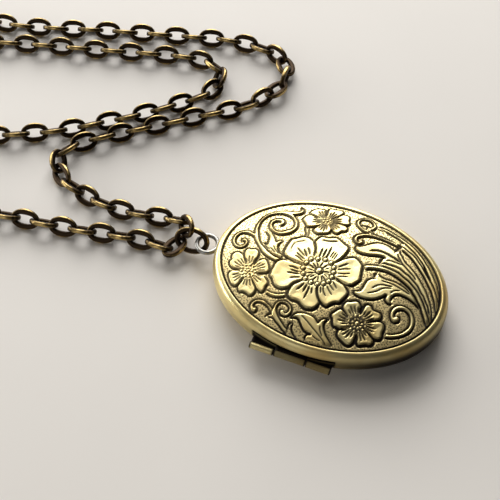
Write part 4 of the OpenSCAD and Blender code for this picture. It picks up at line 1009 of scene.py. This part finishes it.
class LOCKET_OT_lid(bpy.types.Operator):
    """Builds the lid: the stamped front, the plain rim and the inside, as one closed shell"""
    bl_idname = "locket.lid"
    bl_label = "Lid"

    def execute(self, context):
        case = context.scene.locket_case
        wall, rim = case.wall / MM, case.rim_width / MM
        cells_x = case.cells // 16 * 16
        cells_y = cells_x * 7 // 10
        front, quads, edge, circle, values = stamped_front(case, cells_x, cells_y)
        # Rings of the groove beside the rim, the rim's inner corner, its side and the inside of the wall.
        groove = level([(rim + .08, PLATE_EDGE - .1), (rim + .03, PLATE_EDGE - .15)])
        corner = level([(rim - .04, RIM_TOP - .24), (rim - .12, RIM_TOP - .1), (rim - .17, RIM_TOP - .03)])
        side = level([(0, 2.8), (0, SEAM_TOP + .05), (.015, SEAM_TOP + .015), (.05, SEAM_TOP),
                      (wall - .04, SEAM_TOP), (wall, SEAM_TOP + .04), (wall, 3.4), (wall + .2, 3.72),
                      (wall + .5, 3.9), (wall + .9, 4.05), (wall + INSIDE_REACH, INSIDE_EDGE)])
        rings = corner + quarter(rim - .22, 0, RIM_TOP, RIM_FOOT, 22) + side
        inner_disc, inner_quads, inner_edge = disc_grid(cells_x // 4, cells_y // 4)
        inner_radius = INSIDE_SHARE * np.hypot(*inner_disc.T)
        fall = inner_radius**2 / (1 - (wall + INSIDE_REACH) / half_x)**2
        inner = np.column_stack([inner_disc * [half_x * INSIDE_SHARE, half_y * INSIDE_SHARE],
                                 INSIDE_EDGE + .92 * FRONT_RISE * (1 - fall)])
        parts = [front, ring_points(circle, groove), ring_points(circle[::2], rings), inner]
        starts = np.cumsum([0] + [len(part) for part in parts])
        n = len(circle)
        groove_rows = np.vstack([edge, np.arange(starts[1], starts[2]).reshape(-1, n)])
        rows = np.arange(starts[2], starts[3]).reshape(-1, n // 2)
        inward = [bands(groove_rows), halving(groove_rows[-1], rows[0]), bands(rows),
                  halving(rows[-1], starts[3] + inner_edge), inner_quads + starts[3]]
        points, recess_shade = hinge_recess(np.vstack(parts))
        # The groove is black and the rim's inner corner less so from ring to ring: oxide in the groove and
        # painted shade in the crease under the rim. The recess above the hinge and the rim get painted
        # shade too.
        dark = np.zeros(len(points) - len(front))
        dark[:len(groove) * n] = 1
        dark[len(groove) * n:][:len(corner) * n // 2] = np.repeat([1, .6, .2], n // 2)
        dark = np.maximum(dark, np.maximum(recess_shade, rim_patina_and_shade(points))[len(front):])
        lid = add_piece("lid", points, [quads] + [faces[:, ::-1] for faces in inward], "lid",
                        antique_brass("engraved brass", context.scene.locket_finish),
                        {"patina": np.concatenate([values["patina"], dark]),
                         "ground": np.concatenate([values["ground"], 0 * dark])})
        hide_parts("front_shell")
        return {"FINISHED"}


class LOCKET_OT_back(bpy.types.Operator):
    """Builds the back half of the case with its snap lip, as one closed shell, and the soldered loop"""
    bl_idname = "locket.back"
    bl_label = "Back"

    def execute(self, context):
        case = context.scene.locket_case
        finish = context.scene.locket_finish
        wall = case.wall / MM
        outer = wall + LIP_GAP
        inner = outer + LIP_THICKNESS
        # Rings of the flat underside, the round shoulder, the side, the lip and the inside.
        rings = [(0, s, max(0, BACK_RISE * s * s - BACK_FLAT))
                 for s in (.06, .15, .25, .33, .37, .45, .55, .65, .75, .83)]
        rings += quarter(1.9, 0, .66, 2.17, 20)
        rings += level([(0, 2.3), (0, SEAM_BACK - .05), (.015, SEAM_BACK - .015), (.05, SEAM_BACK),
                        (outer - .02, SEAM_BACK), (outer, SEAM_BACK + .02), (outer, LIP_TOP - .06),
                        (outer + .06, LIP_TOP), (inner - .06, LIP_TOP), (inner, LIP_TOP - .06),
                        (inner, SEAM_BACK - .5), (wall, SEAM_BACK - .9), (wall + .15, 1.42),
                        (wall + .45, 1.3), (wall + 1, 1.18)])
        rings += [(0, s, BACK_RISE * s * s - BACK_FLAT + wall) for s in (.88, .75, .6, .45, .3, .15, .05)]
        points = np.vstack([ring_points(circle_points(BACK_SIDES), rings),
                            [[0, 0, 0], [0, 0, wall - BACK_FLAT]]])
        rows = np.arange(len(rings) * BACK_SIDES).reshape(-1, BACK_SIDES)
        middle = np.full(BACK_SIDES, rows.size)
        faces = [bands(rows), np.stack([middle, np.roll(rows[0], -1), rows[0]], 1),
                 np.stack([middle + 1, rows[-1], np.roll(rows[-1], -1)], 1)]
        x, y, z = points.T
        # Painted shade on the outer wall behind the hinge, darkest up by the seam where the knuckles shade
        # it, and the rim's patina and painted shade.
        behind_hinge_shade = smooth((x - RECESS[0] + .2) / .3) * smooth((RECESS[1] + .2 - x) / .3) * (y < 0)
        outside = np.hypot(x / (half_x - TAB_REACH), y / (half_y - TAB_REACH)) > 1
        shade = np.maximum(behind_hinge_shade * smooth((z - 1.2) / .9) * outside, rim_patina_and_shade(points))
        shell = add_piece("back_half", points, faces, "case",
                          antique_brass("back brass", finish), {"patina": shade, "ground": 0 * shade})
        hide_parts("back_shell")
        wire = case.loop_wire / MM
        across = case.loop_d / MM + wire
        points, quads, _ = oval_wire(across, across, wire, wire, RING_AROUND, RING_STEPS)
        centre = [loop_end + across / 2, 0, LOOP_HEIGHT]
        add_piece("loop", points + centre, [quads], "case", pale_metal("loop metal", finish))
        return {"FINISHED"}


def knuckle(low, high, radius):
    """A tube along the hinge axis with rounded ends: a closed profile of distance along the axis and
    radius, turned about the axis."""
    r = KNUCKLE_ROUND
    corner = np.linspace(0, np.pi / 2, 5)
    right = np.stack([high - r + r * np.sin(corner), radius - r + r * np.cos(corner)], 1)
    left = right[::-1] * [-1, 1] + [low + high, 0]
    xs = np.linspace(low + r, high - r, 25)[1:-1]
    top = np.stack([xs, np.full_like(xs, radius)], 1)
    profile = np.vstack([left, top, right, [[high, PIN_HOLE], [low, PIN_HOLE]]])
    turn = turns(KNUCKLE_AROUND)
    x = np.repeat(profile[:, 0], KNUCKLE_AROUND)
    y = hinge_y + (profile[:, 1:] * np.cos(turn)).ravel()
    z = hinge_z + (profile[:, 1:] * np.sin(turn)).ravel()
    return np.stack([x, y, z], 1), lattice(len(profile), KNUCKLE_AROUND)


def tab(low, high, z_low, z_high):
    """A thin plate from the hinge axis into the case wall: four rows of points across, closed all
    round and at its ends."""
    xs = np.linspace(low, high, TAB_CELLS + 1)
    axis_y = np.full_like(xs, hinge_y)
    wall_y = -(half_y - TAB_REACH) * np.sqrt(1 - (xs / (half_x - TAB_REACH))**2)
    rows = [np.stack([xs, y, np.full_like(xs, z)], 1)
            for y, z in ((axis_y, z_low), (wall_y, z_low), (wall_y, z_high), (axis_y, z_high))]
    at = np.arange(len(xs) * 4).reshape(-1, 4)
    faces = np.vstack([bands(at), [[0, 3, 2, 1]], at[-1:]])
    return np.stack(rows, 1).reshape(-1, 3), faces[:, ::-1]


class LOCKET_OT_hinge(bpy.types.Operator):
    """Builds the three knuckles with the plates that join them to the case, and finishes the pin"""
    bl_idname = "locket.hinge"
    bl_label = "Hinge"

    def execute(self, context):
        finish = context.scene.locket_finish
        radius = context.scene.locket_case.knuckle / MM / 2
        brass = antique_brass("knuckle brass", finish)
        low, high = [corner[0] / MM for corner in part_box("hinge_pin")]
        middle = (low + high) / 2
        beside = KNUCKLE_HALF + KNUCKLE_GAP
        # Name, both ends, body, heights of the plate, and the darkening of the tube: patina and painted
        # shade, lighter on the left knuckle, nearest the light.
        spans = [("knuckle_left", low, middle - beside, "case", CASE_TAB, .3),
                 ("knuckle_middle", middle - KNUCKLE_HALF, middle + KNUCKLE_HALF, "lid", LID_TAB, .7),
                 ("knuckle_right", middle + beside, high, "case", CASE_TAB, .7)]
        for name, start, end, body, heights, dark in spans:
            barrel, barrel_quads = knuckle(start, end, radius)
            plate, plate_quads = tab(start + .01, end - .01, *heights)
            from_end = np.minimum(barrel[:, 0] - start, end - barrel[:, 0])
            # Painted shade: each tube darkens on its side towards the case and at its ends, in the gaps
            # beside the next knuckle, and the plates are black, painted shade in the recess behind the
            # hinge.
            shade = np.maximum(smooth((barrel[:, 1] - hinge_y - .15) / .2),
                               1 - smooth((from_end - .1) / .25))
            shade = np.concatenate([np.maximum(dark, shade), np.ones(len(plate))])
            add_piece(name, np.vstack([barrel, plate]), [barrel_quads, plate_quads + len(barrel)],
                      body, brass, {"patina": shade, "ground": 0 * shade})
        new_surface("hinge_pin", dark_bronze("pin bronze", finish, False))
        return {"FINISHED"}


def add_links(name, node, material, chain):
    """Puts a link at each loose solid of a CAD chain, along its own axes, all in one mesh."""
    points, quads, worn = oval_wire(chain.link_length / MM, chain.link_width / MM, chain.wire / MM,
                                    chain.thickness / MM, LINK_AROUND, LINK_STEPS, LINK_POWER,
                                    LINK_SQUARE, chain.swell)
    centre, axes = loose_solids(node)
    count = len(centre)
    placed = (centre[:, None] + points @ axes).reshape(-1, 3)
    faces = (quads + len(points) * np.arange(count)[:, None, None]).reshape(-1, 4)
    links = add_piece(name, placed, [faces], "case", material,
                      {"wear": np.tile(worn, count)})
    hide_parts(node)


class LOCKET_OT_chain(bpy.types.Operator):
    """Builds the jump ring and the links of both halves of the chain, and finishes the clasp"""
    bl_idname = "locket.chain"
    bl_label = "Chain"

    def execute(self, context):
        chain = context.scene.locket_chain
        finish = context.scene.locket_finish
        bronze = dark_bronze("worn bronze", finish, True)
        add_links("links_upper", "chain_upper", bronze, chain)
        add_links("links_lower", "chain_lower", bronze, chain)
        wire = chain.ring_wire / MM
        points, quads, worn = oval_wire(chain.ring_length / MM, chain.ring_width / MM, wire, wire,
                                        RING_AROUND, RING_STEPS)
        centre, axes = loose_solids("jump_ring")
        ring = add_piece("jump_ring_wire", centre[0] + points @ axes[0], [quads], "case",
                         bronze, {"wear": worn})
        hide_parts("jump_ring")
        plain_bronze = dark_bronze("clasp bronze", finish, False)
        new_surface("clasp", plain_bronze)
        new_surface("clasp_ring", plain_bronze)
        return {"FINISHED"}


def add_to_scene(name, data, turned=None):
    """Links a new object to the scene, turned and placed by a matrix."""
    made = bpy.data.objects.new(name, data)
    if turned is not None:
        made.matrix_world = turned
    bpy.context.scene.collection.objects.link(made)
    return made


def facing(place, direction):
    """The matrix of a light or a camera that stands at a place and looks along a direction."""
    return Matrix.Translation(place) @ direction.to_track_quat("-Z", "Y").to_matrix().to_4x4()


class LOCKET_OT_stage(bpy.types.Operator):
    """Adds the floor, the soft lights and the camera at the angle of the photograph"""
    bl_idname = "locket.stage"
    bl_label = "Stage"

    def execute(self, context):
        scene = context.scene
        stage = scene.locket_stage
        side, z = stage.floor_size / 2, cad_box[0][2] - FLOOR_DROP
        mesh = bpy.data.meshes.new("floor")
        mesh.from_pydata([(-side, -side, z), (side, -side, z), (side, side, z), (-side, side, z)], [],
                         [(0, 1, 2, 3)])
        mesh.materials.append(plain("floor", stage.floor, .75))
        floor = add_to_scene("floor", mesh)
        for name, place, size, colour in LIGHTS:
            light = bpy.data.lights.new(name, "AREA")
            light.shape = "RECTANGLE"
            light.size, light.size_y = size
            light.energy = getattr(stage, name)
            light.color = colour
            add_to_scene(name, light, facing(place, Vector(LIGHTS_AIM) - Vector(place)))
        scene.world = bpy.data.worlds.new("studio")
        n = Nodes(scene.world, "Generated")
        towards = n.add("ShaderNodeVectorMath", {0: n.place, 1: SKY_TOWARDS}, operation="DOT_PRODUCT")
        share = n.ramp(towards.outputs["Value"], SKY_FROM, SKY_TO)
        sky = n.add("ShaderNodeBackground", {"Color": (1, .985, .96, 1),
                                             "Strength": n.mix("FLOAT", share, stage.dark_side, stage.sky)})
        n.add("ShaderNodeOutputWorld", {"Surface": sky.outputs["Background"]})
        scene.view_settings.view_transform = "Standard"
        camera = bpy.data.cameras.new("camera")
        camera.lens = stage.lens
        camera.sensor_width = 36
        camera.clip_start = .005
        turn, tilt = np.radians(CAMERA_TURN), np.radians(CAMERA_TILT)
        away = Vector((np.sin(turn) * np.cos(tilt), -np.cos(turn) * np.cos(tilt), np.sin(tilt)))
        place = (Vector(CAMERA_AIM) + CAMERA_DISTANCE * away) * MM
        scene.camera = add_to_scene("camera", camera, facing(place, -away))
        return {"FINISHED"}


class LOCKET_PT_panel(bpy.types.Panel):
    """Lists what builds the locket"""
    bl_idname = "LOCKET_PT_panel"
    bl_label = "Oval Locket"
    bl_space_type = "VIEW_3D"
    bl_region_type = "UI"
    bl_category = "Locket"

    def draw(self, context):
        for operator in OPERATORS:
            self.layout.operator(operator.bl_idname)
        for name in SETTINGS:
            box = self.layout.box()
            group = getattr(context.scene, name)
            for key in group.bl_rna.properties.keys():
                if key not in ("rna_type", "name"):
                    box.prop(group, key)


OPERATORS = [LOCKET_OT_lid, LOCKET_OT_back, LOCKET_OT_hinge, LOCKET_OT_chain, LOCKET_OT_stage]
SETTINGS = {"locket_finish": LocketFinish, "locket_case": LocketCase, "locket_chain": LocketChain,
            "locket_stage": LocketStage}


def register():
    register_all([*SETTINGS.values(), *OPERATORS, LOCKET_PT_panel], True)
    for name, group in SETTINGS.items():
        setattr(bpy.types.Scene, name, PointerProperty(type=group))


def unregister():
    for name in SETTINGS:
        delattr(bpy.types.Scene, name)
    register_all([*SETTINGS.values(), *OPERATORS, LOCKET_PT_panel], False)


def main():
    register()
    bpy.ops.locket.lid()
    bpy.ops.locket.back()
    bpy.ops.locket.hinge()
    bpy.ops.locket.chain()
    bpy.ops.locket.stage()


if __name__ == "__main__":
    main()
